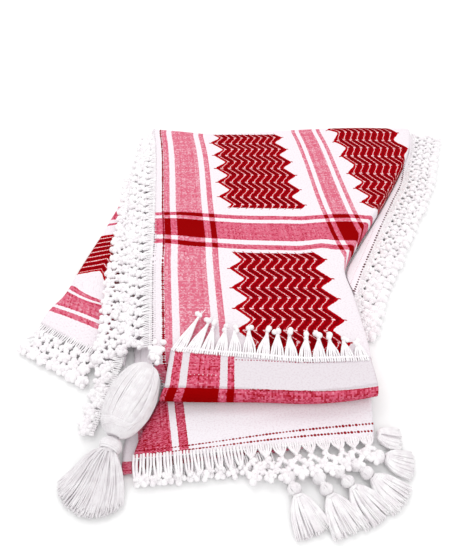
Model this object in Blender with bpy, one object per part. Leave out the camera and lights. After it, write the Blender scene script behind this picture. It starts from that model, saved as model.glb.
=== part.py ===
"""Folded keffiyeh headscarf with a knotted fringe, one big tassel and six small ones.

Each piece that shows is its own closed solid. Tables are in millimetres and the model
is in metres, with +Z up and the underside of the folded stack on z = 0.
"""
import math
from collections import namedtuple

import bpy

MM = 0.001

# Driving dimensions
WALL = 1.6            # cloth wall
GAP = 0.4             # between two pieces that lie on each other
FLOOR_GAP = 0.8       # between a loose layer and the floor
PART = 0.3            # between a cloth edge and its fringe strip
CROWN = 30.0          # height of the folded stack
HEM_SAG = 3.0         # the cut edge of the top panel hangs this much lower
ROLL_RADIUS = 11.0    # turned-up end of the top panel
STRIP_WIDTH = 3.0     # woven strip that a fringe hangs from
STRIP_HEIGHT = 1.8
KNOT = 5.0            # radius of a knotted bobble
FRINGE_PITCH = 16.0   # from one fringe lock to the next
LOCK_FILL = 0.8       # how much of its share of a tassel's skirt a lock fills
ROUND_STEPS = 3       # faces round a folded edge

Row = namedtuple("Row", "y left right crown")
Skew = namedtuple("Skew", "left_y left right_y right height")
Ring = namedtuple("Ring", "along half_width half_height")
Lip = namedtuple("Lip", "height left right")
Turn = namedtuple("Turn", "x root_y face_y radius low")
Dip = namedtuple("Dip", "x back")

# Top panel, near end to far fold: crown is the height of its middle
TOP_ROWS = (
    Row(-187, -138, 84, 18),
    Row(-177, -140, 85, 21),
    Row(-162, -149, 86, CROWN - 4),
    Row(-140, -152, 86, CROWN - 0.6),
    Row(-105, -155, 84, CROWN),
    Row(-60, -159, 80, CROWN),
    Row(-12, -163, 76, CROWN - 0.4),
    Row(45, -166, 104, CROWN - 1.6),
    Row(120, -171, 148, CROWN - 3),
    Row(222, -179, 201, CROWN - 5),
    Row(270, -184, 220, CROWN - 6.5),
    Row(310, -190, 229, CROWN - 8),
)
# How far back from straight the far fold lies
FAR_DIPS = (
    Dip(-190, 0),
    Dip(-145, 10),
    Dip(-100, 18),
    Dip(-60, 16.5),
    Dip(5, 11),
    Dip(55, 6),
    Dip(123, 0.5),
    Dip(240, 0),
)
DIP_LENGTH = 130.0    # the dips die out this far from the far fold
SIDE_ROUND = 8.0      # how far the right-hand fold rounds out
FAR_ROUND = 16.0      # how far the far fold rounds out
FOLD_LOW = 10.0       # the folded edges come down to this height

# Hidden layers: folded lips of the stack, from the floor up, as fractions of its height
STACK_LIPS = (
    Lip(0.00, 12.0, -6.0),
    Lip(0.05, 17.0, -2.5),
    Lip(0.13, 19.5, -1.5),
    Lip(0.22, 18.0, -3.5),
    Lip(0.27, 9.0, -7.0),
    Lip(0.36, 11.0, -6.0),
    Lip(0.50, 9.0, -7.0),
    Lip(0.58, 3.0, -8.0),
    Lip(0.80, 2.5, -4.5),
)

# Turned-up end of the top panel: where it starts, where it rolls over, how far down
TURNS = (
    Turn(-128, -150, -194, ROLL_RADIUS - 0.4, 14.0),
    Turn(-96, -153, -195, ROLL_RADIUS, 14.0),
    Turn(-40, -157, -196, ROLL_RADIUS - 0.6, 14.2),
    Turn(15, -161, -198, ROLL_RADIUS - 1.0, 14.6),
    Turn(60, -159, -196, ROLL_RADIUS - 2.0, 16.0),
    Turn(91, -157, -192, ROLL_RADIUS - 3.0, 18.0),
)
ROLL_SPREAD = 8.0     # the roll reaches this much further left than the flap's root

LOWER_FLAP = (
    Skew(-183, -136, -183, 87, 12.2),
    Skew(-205, -140, -200, 87, 11.4),
    Skew(-232, -156, -215, 86, 9.0),
    Skew(-256, -168, -229, 83, 7.4),
)
UNDER_FLAP = (
    Skew(-190, -128, -190, 85, 4.6),
    Skew(-232, -148, -214, 85, 4.2),
    Skew(-276, -165, -236, 84, 3.6),
)
WING_ROWS = (
    # left is the fold, right is where the wing goes in under the stack
    Row(-150, -290, -181, 8.0),
    Row(-70, -282, -180, 8.0),
    Row(-5, -263, -186, 8.0),
    Row(78, -238, -192, 7.8),
    Row(160, -219, -197, 7.6),
    Row(215, -211, -202.5, 7.4),
)
WING_SKEW = 62.0      # the wing's front edge runs back by this much on its way to the fold
RIGHT_WING = (
    # left is the fold of the top panel, right is the cut edge
    Row(-40, 94, 100, 6.2),
    Row(-6, 89, 113, 7.0),
    Row(39, 111, 134, 7.6),
    Row(88, 139, 157, 8.0),
    Row(141, 168, 183, 8.2),
    Row(187, 192, 206, 8.2),
    Row(231, 213, 220, 8.0),
    Row(272, 229.5, 234, 7.6),
    Row(316, 238, 246, 7.0),
)

# Fringe locks: rings from the strip outwards, as parts of the lock's length
KNOTTED_ONCE = (Ring(0.30, 1.3, 1.0), Ring(0.58, 1.3, 1.2), Ring(0.80, KNOT, KNOT), Ring(1.0, 1.4, 1.4))
KNOTTED_TWICE = (Ring(0.40, 1.4, 1.1), Ring(0.58, KNOT, KNOT - 0.4), Ring(0.70, 1.8, 1.8),
                 Ring(0.85, KNOT, KNOT - 0.2), Ring(1.0, 1.3, 1.3))
KNOTTED_THRICE = (Ring(0.22, 1.4, 1.1), Ring(0.38, KNOT - 0.6, KNOT - 1), Ring(0.50, 1.8, 1.8),
                  Ring(0.65, KNOT, KNOT - 0.6), Ring(0.76, 1.8, 1.8), Ring(0.89, KNOT, KNOT - 0.4),
                  Ring(1.0, 1.2, 1.2))

# How the locks of a fringe change along it: tip is the height of the end of a lock
Lock = namedtuple("Lock", "part length tip lean")
LEFT_LOCKS = (Lock(0.0, 13, 19, 0), Lock(0.2, 28, 18, 0), Lock(0.6, 33, 17, 0), Lock(1.0, 34, 17, 0.1))
LEFT_UNDER_LOCKS = (Lock(0.0, 16, 13.6, 0), Lock(0.3, 24, 13.6, 0), Lock(0.62, 33, 13.6, 0),
                    Lock(0.78, 32, 13.6, 0), Lock(0.83, 20, 10, 0), Lock(0.9, 16, 6, 0), Lock(1.0, 15, 6, 0))
CUFF_LOCKS = (Lock(0.0, 17, 35.8, 0), Lock(0.15, 24, 36, 0), Lock(0.35, 33, 36, 0), Lock(0.75, 36, 36, -0.05),
              Lock(0.9, 46, 36, -0.3), Lock(1.0, 56, 35.6, -0.45))
LOWER_LOCKS = (Lock(0.0, 28, 10.4, 0), Lock(0.5, 25, 10.4, 0.05), Lock(1.0, 13, 9.5, 0.05))
UNDER_LOCKS = (Lock(0.0, 15, 5.6, 0.1), Lock(0.3, 20, 5.6, 0.1), Lock(1.0, 25, 5.6, 0.1))
LEFT_WING_LOCKS = (Lock(0.0, 40, 5.6, 0), Lock(1.0, 44, 5.6, 0.1))
RIGHT_WING_LOCKS = (Lock(0.0, 13, 5.6, 0), Lock(0.12, 26, 5.6, 0), Lock(0.3, 34, 5.6, 0), Lock(1.0, 40, 5.8, 0))

WHITE = (0.90, 0.89, 0.88)
CREAM = (0.84, 0.80, 0.80)
RED = (0.62, 0.06, 0.09)
PINK = (0.74, 0.26, 0.32)


def clear_scene():
    for item in list(bpy.data.objects):
        bpy.data.objects.remove(item)


def add_solid(name, points, faces, colour):
    """Makes one named object from points in millimetres."""
    mesh = bpy.data.meshes.new(name)
    mesh.from_pydata([tuple(c * MM for c in p) for p in points], [], faces)
    mesh.validate()
    material = bpy.data.materials.new(name)
    material.use_nodes = True
    shader = material.node_tree.nodes["Principled BSDF"]
    shader.inputs["Base Color"].default_value = (*colour, 1.0)
    shader.inputs["Roughness"].default_value = 0.9
    mesh.materials.append(material)
    item = bpy.data.objects.new(name, mesh)
    bpy.context.scene.collection.objects.link(item)
    return item


def blend(a, b, t):
    return a + (b - a) * t


def ease(t):
    t = min(1.0, max(0.0, t))
    return t * t * (3 - 2 * t)


def smooth_at(keys, values, key):
    """Smooth curve through the given values, with no overshoot worth naming."""
    if key <= keys[0]:
        return values[0]
    if key >= keys[-1]:
        return values[-1]
    i = max(k for k in range(len(keys) - 1) if keys[k] <= key)
    span = keys[i + 1] - keys[i]

    def slope(k):
        if k in (0, len(keys) - 1):
            j = min(k, len(keys) - 2)
            return (values[j + 1] - values[j]) / (keys[j + 1] - keys[j])
        return (values[k + 1] - values[k - 1]) / (keys[k + 1] - keys[k - 1])

    t = (key - keys[i]) / span
    h = (2 * t**3 - 3 * t**2 + 1, t**3 - 2 * t**2 + t, 3 * t**2 - 2 * t**3, t**3 - t**2)
    return h[0] * values[i] + h[1] * span * slope(i) + h[2] * values[i + 1] + h[3] * span * slope(i + 1)


def column(rows, name, key, by="y"):
    return smooth_at([getattr(r, by) for r in rows], [getattr(r, name) for r in rows], key)


def minus(a, b):
    return tuple(p - q for p, q in zip(a, b))


def plus(a, b, scale=1.0):
    return tuple(p + q * scale for p, q in zip(a, b))


def cross(a, b):
    return (a[1] * b[2] - a[2] * b[1], a[2] * b[0] - a[0] * b[2], a[0] * b[1] - a[1] * b[0])


def unit(a):
    size = math.sqrt(sum(c * c for c in a))
    return tuple(c / size for c in a)


def grid_normals(grid):
    """Unit normals of a grid of points, facing the side where columns turn left to rows."""
    last_r, last_c = len(grid) - 1, len(grid[0]) - 1
    return [
        [
            unit(cross(minus(grid[r][min(c + 1, last_c)], grid[r][max(c - 1, 0)]),
                       minus(grid[min(r + 1, last_r)][c], grid[max(r - 1, 0)][c])))
            for c in range(last_c + 1)
        ]
        for r in range(last_r + 1)
    ]


def rim_of(rows, columns):
    """Indices round a grid, as its outline runs when it is seen from above."""
    last_r, last_c = rows - 1, columns - 1
    return (
        [c for c in range(columns)]
        + [r * columns + last_c for r in range(1, rows)]
        + [last_r * columns + c for c in range(last_c - 1, -1, -1)]
        + [r * columns for r in range(last_r - 1, 0, -1)]
    )


def grid_faces(rows, columns, start=0, turned=False):
    faces = []
    for r in range(rows - 1):
        for c in range(columns - 1):
            a = start + r * columns + c
            quad = (a, a + 1, a + columns + 1, a + columns)
            faces.append(quad[::-1] if turned else quad)
    return faces


def cloth(name, grid, colour, wall=WALL):
    """A sheet of even wall whose outer side is the grid."""
    rows, columns = len(grid), len(grid[0])
    normals = grid_normals(grid)
    outer = [p for row in grid for p in row]
    inner = [plus(p, n, -wall) for row, ns in zip(grid, normals) for p, n in zip(row, ns)]
    count = len(outer)
    faces = grid_faces(rows, columns) + grid_faces(rows, columns, count, turned=True)
    rim = rim_of(rows, columns)
    for a, b in zip(rim, rim[1:] + rim[:1]):
        faces.append((b, a, count + a, count + b))
    return add_solid(name, outer + inner, faces, colour)


def panel_height(x, y):
    """Height of the top panel, before its folded edges round over."""
    left, right = column(TOP_ROWS, "left", y), column(TOP_ROWS, "right", y)
    u = min(1.0, max(0.0, (x - left) / (right - left)))
    sag = HEM_SAG * (1 - ease(u / 0.16)) * ease((y + 200) / 60)
    return column(TOP_ROWS, "crown", y) - sag - 1.2 * ease((u - 0.8) / 0.2)


def top_grid(inset=0.0, columns=13, rows=17):
    """Outer side of the top panel; inset moves it inwards along its folds and down."""
    near, far = TOP_ROWS[0].y, TOP_ROWS[-1].y
    levels = [(blend(near, far, r / (rows - 1)), 0.0) for r in range(rows)]
    levels += [(far, (k + 1) / ROUND_STEPS * math.pi / 2) for k in range(ROUND_STEPS)]
    across = [(c / (columns - 1), 0.0) for c in range(columns)]
    across += [(1.0, (k + 1) / ROUND_STEPS * math.pi / 2) for k in range(ROUND_STEPS)]
    grid = []
    for y, far_turn in levels:
        left, right = column(TOP_ROWS, "left", y), column(TOP_ROWS, "right", y)
        line = []
        for u, side_turn in across:
            x = blend(left, right, u)
            top = panel_height(x, y)
            dip = column(FAR_DIPS, "back", x, "x") * ease((y - far + DIP_LENGTH) / DIP_LENGTH)
            drop = (top - FOLD_LOW) * (1 - math.cos(far_turn) * math.cos(side_turn))
            line.append((
                x + (SIDE_ROUND - 1.3 * inset) * math.sin(side_turn),
                y - dip + (FAR_ROUND - inset) * math.sin(far_turn),
                top - inset - drop + inset * (1 - math.cos(far_turn) * math.cos(side_turn)),
            ))
        grid.append(line)
    return grid


def make_core():
    """The hidden layers: one rounded solid under the top panel, lipped like folded cloth."""
    grid = [row for row in top_grid(inset=WALL + GAP) if row[0][1] > TOP_ROWS[1].y]
    rows, columns = len(grid), len(grid[0])
    points = [p for row in grid for p in row]
    faces = grid_faces(rows, columns)
    rim = rim_of(rows, columns)
    count = len(rim)
    outline = [points[i] for i in rim]
    outwards, rooms = [], []
    for k in range(count):
        before, after = outline[k - 1], outline[(k + 1) % count]
        rooms.append(min(math.dist(outline[k][:2], p[:2]) for p in (before, after)))
        across = (after[1] - before[1], before[0] - after[0], 0.0)
        outwards.append(unit(across))
    upper = rim
    for lip in reversed(STACK_LIPS):
        start = len(points)
        for (x, y, z), out, room in zip(outline, outwards, rooms):
            lefthand = ease(-out[0] * 1.4)
            reach = blend(lip.right, lip.left, lefthand)
            reach *= 1.0 if out[1] > -0.7 else 0.25
            reach = max(reach, -0.4 * room)
            points.append((x + out[0] * reach, y + out[1] * reach, min(z, FOLD_LOW - 0.6) * lip.height
                           if lefthand < 0.5 else z * lip.height))
        lower = list(range(start, start + count))
        for a, b, c, d in zip(upper, upper[1:] + upper[:1], lower[1:] + lower[:1], lower):
            faces.append((b, a, d, c))
        upper = lower
    faces.append(tuple(reversed(upper)))
    return add_solid("core", points, faces, PINK)


def make_cuff():
    """The end of the top panel turned up over itself, and the roll where it turns."""
    columns = 12
    grid = []
    for c in range(columns):
        x = blend(TURNS[0].x, TURNS[-1].x, c / (columns - 1))
        root, face, radius, low = (column(TURNS, n, x, "x") for n in ("root_y", "face_y", "radius", "low"))
        spread = ROLL_SPREAD * (1 - ease((x - TURNS[0].x) / 90))
        rest = panel_height(x, root) + GAP + WALL
        top = low + 2 * radius
        line = [(x, root, rest), (x - spread * 0.15, blend(root, face, 0.5), blend(rest, top, 0.45) + 0.6)]
        for k in range(8):
            turn = math.pi / 2 + k / 7 * math.pi
            line.append((x - spread * (0.3 + 0.7 * min(1, k / 3)), face + radius * math.cos(turn),
                         low + radius + radius * math.sin(turn)))
        line.append((x - spread, face + 6.0, low))
        grid.append(line)
    return cloth("cuff_flap", grid, CREAM)


def make_flap(name, table, colour, columns=11, rows=5, wave=0.5):
    """A flat flap that comes out from under the stack towards its cut edge."""
    keys = list(range(len(table)))
    grid = []
    for r in range(rows):
        key = r / (rows - 1) * keys[-1]
        left_y, left, right_y, right, height = (
            smooth_at(keys, [getattr(s, n) for s in table], key)
            for n in ("left_y", "left", "right_y", "right", "height")
        )
        grid.append([
            (blend(left, right, t), blend(left_y, right_y, t),
             height + wave * math.sin(9 * t + 0.8) * (r / (rows - 1)))
            for t in (c / (columns - 1) for c in range(columns))
        ])
    grid.reverse()
    return cloth(name, grid, colour)


def make_left_wing():
    """A doubled wing: cloth comes out from the stack, folds over and goes back under."""
    grid = []
    rows = 9
    for r in range(rows):
        key = blend(WING_ROWS[0].y, WING_ROWS[-1].y, r / (rows - 1))
        fold, inner, height = (column(WING_ROWS, n, key) for n in ("left", "right", "crown"))
        radius = (height - FLOOR_GAP) / 2
        front = 1 - ease(r / (rows - 1) / 0.35)
        line = []
        for t in (0.85, 0.5):
            line.append((blend(fold, inner, t), key, FLOOR_GAP))
        for k in range(5):
            turn = -math.pi / 2 - k / 4 * math.pi
            line.append((fold + radius + radius * math.cos(turn), key,
                         FLOOR_GAP + radius + radius * math.sin(turn)))
        for t in (0.35, 0.7, 1.0):
            line.append((blend(fold + radius, inner, t), key, height - 0.8 * t))
        moved = []
        for x, y, z in line:
            lean = WING_SKEW * (inner - x) / (inner - fold) * front
            moved.append((x, y + lean, z))
        grid.append(moved)
    return cloth("left_wing", grid, PINK)


def make_right_wing():
    """The pale reverse of the layer below, out past the diagonal fold."""
    rows, columns = 12, 4
    grid = []
    for r in range(rows):
        y = blend(RIGHT_WING[0].y, RIGHT_WING[-1].y, r / (rows - 1))
        left, right, height = (column(RIGHT_WING, n, y) for n in ("left", "right", "crown"))
        grid.append([
            (blend(left, right, t), y - 5 * t, height - 2.2 * t)
            for t in (c / (columns - 1) for c in range(columns))
        ])
    return cloth("right_wing", grid, CREAM)


def along_path(path, distance):
    """Point and unit direction at a distance along a line through the path's points."""
    for a, b in zip(path, path[1:]):
        step = math.dist(a, b)
        if distance <= step or b == path[-1]:
            return tuple(blend(p, q, distance / step) for p, q in zip(a, b)), unit(minus(b, a))
        distance -= step
    return path[-1], unit(minus(path[-1], path[-2]))


def make_fringe(name, path, locks, rings, pitch=FRINGE_PITCH, root=0.45):
    """A narrow strip along the path and a row of locks that hang from its outer side.

    The locks go out to the right of the path. Their length, the height of their tips and
    how far they lean come from the rows of locks, each at a part of the way along.
    """
    length = sum(math.dist(a, b) for a, b in zip(path, path[1:]))
    count = max(2, round(length / pitch))
    pitch = length / count
    stations = [0.0]
    for k in range(count):
        stations += [(k + 0.5 - root / 2) * pitch, (k + 0.5 + root / 2) * pitch]
    stations.append(length)
    points, faces = [], []
    outs = []
    for s in stations:
        (x, y, z), ahead = along_path(path, s)
        out = unit((ahead[1], -ahead[0], 0.0))
        outs.append((out, ahead))
        inner, outer = PART, PART + STRIP_WIDTH
        for reach_out, level in ((inner, z), (inner, z - STRIP_HEIGHT), (outer, z - STRIP_HEIGHT), (outer, z)):
            points.append((x + out[0] * reach_out, y + out[1] * reach_out, level))
    last = len(stations) - 1
    for k in range(last):
        a, b = 4 * k, 4 * (k + 1)
        faces += [(a, b, b + 1, a + 1), (a + 1, b + 1, b + 2, a + 2), (a + 3, b + 3, b, a)]
        if k % 2 == 0:
            faces.append((a + 2, b + 2, b + 3, a + 3))
            continue
        part = stations[k] / length
        out, ahead = outs[k]
        far, end, lean = (column(locks, n, part, "part") for n in ("length", "tip", "lean"))
        heading = unit(plus(out, ahead, lean))
        width = unit(cross(heading, (0, 0, 1)))
        root_mid = tuple(sum(points[i][c] for i in (a + 2, a + 3, b + 2, b + 3)) / 4 for c in range(3))
        wobble = 1.0 + 0.07 * math.sin(5.3 * k)
        ring = (a + 3, a + 2, b + 2, b + 3)
        for spec in rings:
            middle = plus(root_mid, heading, far * spec.along * wobble)
            level = blend(root_mid[2], end, ease(spec.along * 1.15))
            level = max(level, spec.half_height + 0.5)
            middle = (middle[0], middle[1], level)
            first = len(points)
            for w, h in ((1, 1), (1, -1), (-1, -1), (-1, 1)):
                corner = plus(middle, width, w * spec.half_width)
                points.append((corner[0], corner[1], corner[2] + h * spec.half_height))
            fresh = (first, first + 1, first + 2, first + 3)
            for i in range(4):
                j = (i + 1) % 4
                faces.append((ring[i], ring[j], fresh[j], fresh[i]))
            ring = fresh
        faces.append(ring)
    faces += [(0, 1, 2, 3), (4 * last + 3, 4 * last + 2, 4 * last + 1, 4 * last)]
    return add_solid(name, points, faces, WHITE)


def loft(name, rings, colour, closed_end=None):
    """Skin over rings of equal count; closed_end adds faces in place of the last cap."""
    points = [p for ring in rings for p in ring]
    count = len(rings[0])
    faces = [tuple(range(count))[::-1]]
    for r in range(len(rings) - 1):
        for k in range(count):
            a, b = r * count + k, r * count + (k + 1) % count
            faces.append((a, b, b + count, a + count))
    if closed_end is None:
        faces.append(tuple(range((len(rings) - 1) * count, len(rings) * count)))
    else:
        closed_end(points, faces, (len(rings) - 1) * count)
    return add_solid(name, points, faces, colour)


def frame_at(heading):
    """Sideways and upward directions of a ring that a level heading goes through."""
    side = unit(cross((0, 0, 1), heading))
    return side, unit(cross(heading, side))


def oval(centre, heading, half_width, half_height, sides):
    side, up = frame_at(heading)
    ring = []
    for k in range(sides):
        turn = 2 * math.pi * (k + 0.5) / sides
        ring.append(plus(plus(centre, side, half_width * math.cos(turn)), up, half_height * math.sin(turn)))
    return ring


def strap_ring(centre, heading, half_width, half_height, locks):
    """A flattened ring with a row of points above and one below, for locks to start from."""
    side, up = frame_at(heading)
    ring = []
    for sign in (1, -1):
        for k in range(locks + 1):
            across = 0.98 * (1 - 2 * k / locks)
            lift = max(0.3, math.sqrt(1 - across * across))
            ring.append(plus(plus(centre, side, half_width * across * sign), up, half_height * lift * sign))
    return ring


def fan_of_locks(points, faces, start, locks, centre, heading, root, spread, reach, levels):
    """Locks that start from the last strap ring and fan out, each with its own tip.

    Root is the ring's half width. A lock fills LOCK_FILL of its share of the fan, so that
    it stays clear of its neighbours.
    """
    side, up = frame_at(heading)
    for k in range(locks):
        upper = (start + k, start + k + 1)
        lower = (start + 2 * locks + 1 - k, start + 2 * locks - k)
        ring = (upper[0], upper[1], lower[1], lower[0])
        across = 1 - 2 * (k + 0.5) / locks
        turn = spread * across
        ray = plus(tuple(c * math.cos(turn) for c in heading), side, math.sin(turn))
        ray_side = unit(cross((0, 0, 1), ray))
        far = reach * (1 - 0.26 * across * across + 0.04 * math.sin(4.1 * k + 1))
        foot = plus(centre, side, root * across)
        for part, level in ((0.5, levels[0]), (1.0, levels[1])):
            middle = plus(foot, ray, far * part)
            half = (root + spread * far * part) / locks * LOCK_FILL
            first = len(points)
            for w, h in ((1, 1), (-1, 1), (-1, -1), (1, -1)):
                spot = plus(middle, ray_side, w * half)
                points.append((spot[0], spot[1], level + h * levels[2] * (1.1 - 0.45 * part)))
            fresh = (first, first + 1, first + 2, first + 3)
            for i in range(4):
                j = (i + 1) % 4
                faces.append((ring[i], ring[j], fresh[j], fresh[i]))
            ring = fresh
        faces.append(ring)


HEAD_TOP = (-150.0, -168.0, 33.0)
HEAD_LOW = (-178.5, -246.0, 25.0)
HEAD_HALF_WIDTH = 26.5
HEAD_HALF_HEIGHT = 25.0
NECK_LENGTH = 11.0
SKIRT_REACH = 66.0


def make_big_tassel():
    heading = unit(minus(HEAD_LOW, HEAD_TOP))
    length = math.dist(HEAD_LOW, HEAD_TOP)
    rings = []
    steps = 9
    for k in range(steps):
        turn = math.pi * (0.06 + 0.86 * k / (steps - 1))
        part = (1 - math.cos(turn)) / 2
        girth = math.sin(turn) ** 0.85
        rings.append(oval(plus(HEAD_TOP, heading, length * part), heading,
                          HEAD_HALF_WIDTH * girth, HEAD_HALF_HEIGHT * girth, 12))
    loft("tassel_head", rings, WHITE)
    level = unit((heading[0], heading[1], 0.0))
    start = plus(HEAD_LOW, level, 1.6)
    start = (start[0], start[1], 17.0)
    neck = [oval(plus(start, level, NECK_LENGTH * t), level, w, w, 10)
            for t, w in ((0.0, 6.0), (0.15, 9.0), (0.85, 9.4), (1.0, 7.0))]
    loft("tassel_neck", neck, WHITE)
    root = plus(start, level, NECK_LENGTH + 0.5)
    locks = 13
    rings = [strap_ring(plus(root, level, d), level, w, h, locks)
             for d, w, h in ((0.0, 6.5, 6.0), (4.0, 12.0, 8.0), (12.0, 20.0, 9.0))]
    tip = plus(root, level, 12.0)

    def skirt(points, faces, first):
        fan_of_locks(points, faces, first, locks, (tip[0], tip[1], 0.0), level, 19.0,
                     math.radians(31), SKIRT_REACH - 12.0, (10.0, 5.4, 4.6))

    loft("tassel_skirt", rings, WHITE, skirt)


Tassel = namedtuple("Tassel", "x y turn skirt beads")
SMALL_TASSELS = (
    Tassel(-8.0, -276.0, -68.0, 38.0, 2),
    Tassel(21.0, -277.0, -63.0, 38.0, 2),
    Tassel(40.0, -271.0, -53.0, 38.0, 2),
    Tassel(57.0, -265.0, -40.0, 36.0, 2),
    Tassel(68.0, -255.0, -14.0, 28.0, 2),
    Tassel(89.0, -236.0, -8.0, 24.0, 0),
)
BEAD = 6.4
BEAD_HEIGHT = 7.6


def make_small_tassel(number, spec):
    turn = math.radians(spec.turn)
    heading = (math.cos(turn), math.sin(turn), 0.0)
    centre = (spec.x, spec.y, BEAD_HEIGHT)
    locks = 5
    stations = []
    for bead in range(spec.beads):
        start = 12.5 * bead
        stations += [(start - 2.0, 1.6 + 1.6 * bead), (start + 1.2, BEAD * 0.8), (start + 5.0, BEAD),
                     (start + 9.2, BEAD * 0.65)]
    start = 12.5 * spec.beads
    stations += [(start - 1.0, 3.4), (start + 4.0, 6.0)]
    rings = [strap_ring(plus(centre, heading, d), heading, w, w * 0.92, locks) for d, w in stations]
    tip = plus(centre, heading, stations[-1][0])

    def skirt(points, faces, first):
        fan_of_locks(points, faces, first, locks, (tip[0], tip[1], 0.0), heading, 5.8,
                     math.radians(14), spec.skirt - 5.0, (5.6, 4.0, 3.4))

    loft(f"small_tassel_{number}", rings, WHITE, skirt)


def make_corner_knot():
    heading = unit((-0.35, -0.94, 0.0))
    start = (-141.0, -145.5, 36.5)
    spans = ((0.0, 2.5), (2.5, 6.0), (7.0, 7.6), (11.0, 6.4), (14.5, 6.8), (17.0, 3.5))
    loft("corner_knot", [oval(plus(start, heading, d), heading, w, w * 0.95, 8) for d, w in spans], WHITE)


def flap_edge(table, first, last):
    """Two points along a flap's cut edge, at parts of its width."""
    edge = table[-1]
    return [(blend(edge.left, edge.right, t), blend(edge.left_y, edge.right_y, t), edge.height)
            for t in (first, last)]


def make_fringes():
    """Every fringe. Each path runs so that the locks go out to the right of it."""
    far, near = 300, -138
    steps = [blend(far, near, k / 9) for k in range(10)]
    path = [(column(TOP_ROWS, "left", y), y, panel_height(-400, y)) for y in steps]
    make_fringe("left_fringe", path, LEFT_LOCKS, KNOTTED_TWICE)

    offset, level = 25.0, 10.6
    steps = [blend(200, -108, k / 7) for k in range(8)]
    path = [(column(TOP_ROWS, "left", y) - offset, y, level) for y in steps]
    path += [(-182, -130, level + 0.6), (-185.5, -152, level + 0.6), (-191, -176, 9.8), (-197, -201, 8.4),
             (-203, -226, 7.0)]
    make_fringe("left_under_fringe", path, LEFT_UNDER_LOCKS, KNOTTED_TWICE)

    path = []
    for k in range(12):
        x = blend(TURNS[-1].x - 3, TURNS[0].x + 2, k / 11)
        y = column(TURNS, "root_y", x, "x")
        path.append((x, y, panel_height(x, y + 2 * STRIP_WIDTH) + GAP + STRIP_HEIGHT))
    make_fringe("cuff_fringe", path, CUFF_LOCKS, KNOTTED_ONCE)

    make_fringe("lower_fringe", flap_edge(LOWER_FLAP, 0.035, 0.99), LOWER_LOCKS, KNOTTED_ONCE)
    make_fringe("under_fringe", flap_edge(UNDER_FLAP, 0.03, 0.58), UNDER_LOCKS, KNOTTED_ONCE)

    first = WING_ROWS[0]
    path = []
    for t in (0.985, 0.4):
        path.append((blend(first.right, first.left, t), first.y + WING_SKEW * t, first.crown - 0.5 - 1.5 * ease(t)))
    make_fringe("left_wing_fringe", path, LEFT_WING_LOCKS, KNOTTED_THRICE)

    path = [(95, -113, 4.6), (95.5, -80, 4.6)]
    path += [(r.right, r.y - 5, r.crown - 2.2) for r in RIGHT_WING[:-1]] + [(247, 311, 4.8), (248, 324, 4.8)]
    make_fringe("right_wing_fringe", path, RIGHT_WING_LOCKS, KNOTTED_THRICE)


def main():
    clear_scene()
    cloth("top_panel", top_grid(), RED)
    make_core()
    make_cuff()
    make_flap("lower_flap", LOWER_FLAP, CREAM)
    make_flap("under_flap", UNDER_FLAP, PINK, columns=8, rows=4, wave=0.2)
    make_left_wing()
    make_right_wing()
    make_big_tassel()
    for number, spec in enumerate(SMALL_TASSELS, start=1):
        make_small_tassel(number, spec)
    make_corner_knot()
    make_fringes()


main()
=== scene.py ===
"""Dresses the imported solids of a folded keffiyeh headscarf: cloth, knotted fringe, tassels.

Every table is in millimetres. The cloth pieces are thin shells on the forms of their solids,
and each carries a UV map named "cloth" that holds its place on the flat cloth in metres,
so that stripes and woven patches run with the threads over folds and edges.
"""
import logging
import math
from collections.abc import Callable
from dataclasses import dataclass, field
from enum import Enum
from functools import partial

import bpy
import numpy as np
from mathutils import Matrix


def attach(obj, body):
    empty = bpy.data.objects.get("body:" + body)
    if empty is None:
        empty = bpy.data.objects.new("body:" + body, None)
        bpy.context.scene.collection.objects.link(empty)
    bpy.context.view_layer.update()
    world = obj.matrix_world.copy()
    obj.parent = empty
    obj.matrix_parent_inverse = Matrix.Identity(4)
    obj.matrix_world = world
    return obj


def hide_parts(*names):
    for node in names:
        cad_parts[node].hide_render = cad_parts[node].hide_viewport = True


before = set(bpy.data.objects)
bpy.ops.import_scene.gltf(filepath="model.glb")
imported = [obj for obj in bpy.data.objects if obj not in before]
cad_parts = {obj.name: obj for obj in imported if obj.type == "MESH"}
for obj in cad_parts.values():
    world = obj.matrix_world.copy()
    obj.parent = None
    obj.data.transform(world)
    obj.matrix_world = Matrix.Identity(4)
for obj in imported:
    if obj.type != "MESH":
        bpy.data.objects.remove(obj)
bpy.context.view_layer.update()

log = logging.getLogger("headscarf")
MM = 0.001
FULL_TURN = 2 * math.pi
UV_NAME = "cloth"
MATH = "ShaderNodeMath"
VECTOR = "ShaderNodeVectorMath"
NOISE = "ShaderNodeTexNoise"
CHANCE = "ShaderNodeTexWhiteNoise"
RANGE = "ShaderNodeMapRange"
BLEND = "ShaderNodeMix"

Material, Piece, Node = bpy.types.Material, bpy.types.Object, bpy.types.Node
Adder = Callable[..., Node]  # adds a node to one tree
Source = Node | bpy.types.NodeSocket  # what can feed a node's input
Point = tuple[float, float, float]

# ---------------------------------------------------------------- small shared helpers


def linear(code: str) -> tuple[float, float, float, float]:
    """Turns an sRGB hex colour, "#RRGGBB", into linear red, green and blue with an alpha of one."""
    parts = [int(code[i : i + 2], 16) / 255 for i in (1, 3, 5)]
    return (*(p / 12.92 if p <= 0.04045 else ((p + 0.055) / 1.055) ** 2.4 for p in parts), 1.0)


def feed(node: Node, links: dict | tuple) -> Node:
    """Links a node's inputs or sets their values.

    Args:
        node: the node.
        links: input name or number to a node, an output socket or a plain value. A tuple
            feeds the first inputs in order, and a node stands for its first output.

    Returns:
        The same node.
    """
    for where, source in links.items() if isinstance(links, dict) else enumerate(links):
        if isinstance(source, Node):
            source = source.outputs[0]
        if isinstance(source, bpy.types.NodeSocket):
            node.id_data.links.new(source, node.inputs[where])
        else:
            node.inputs[where].default_value = source
    return node


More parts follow.
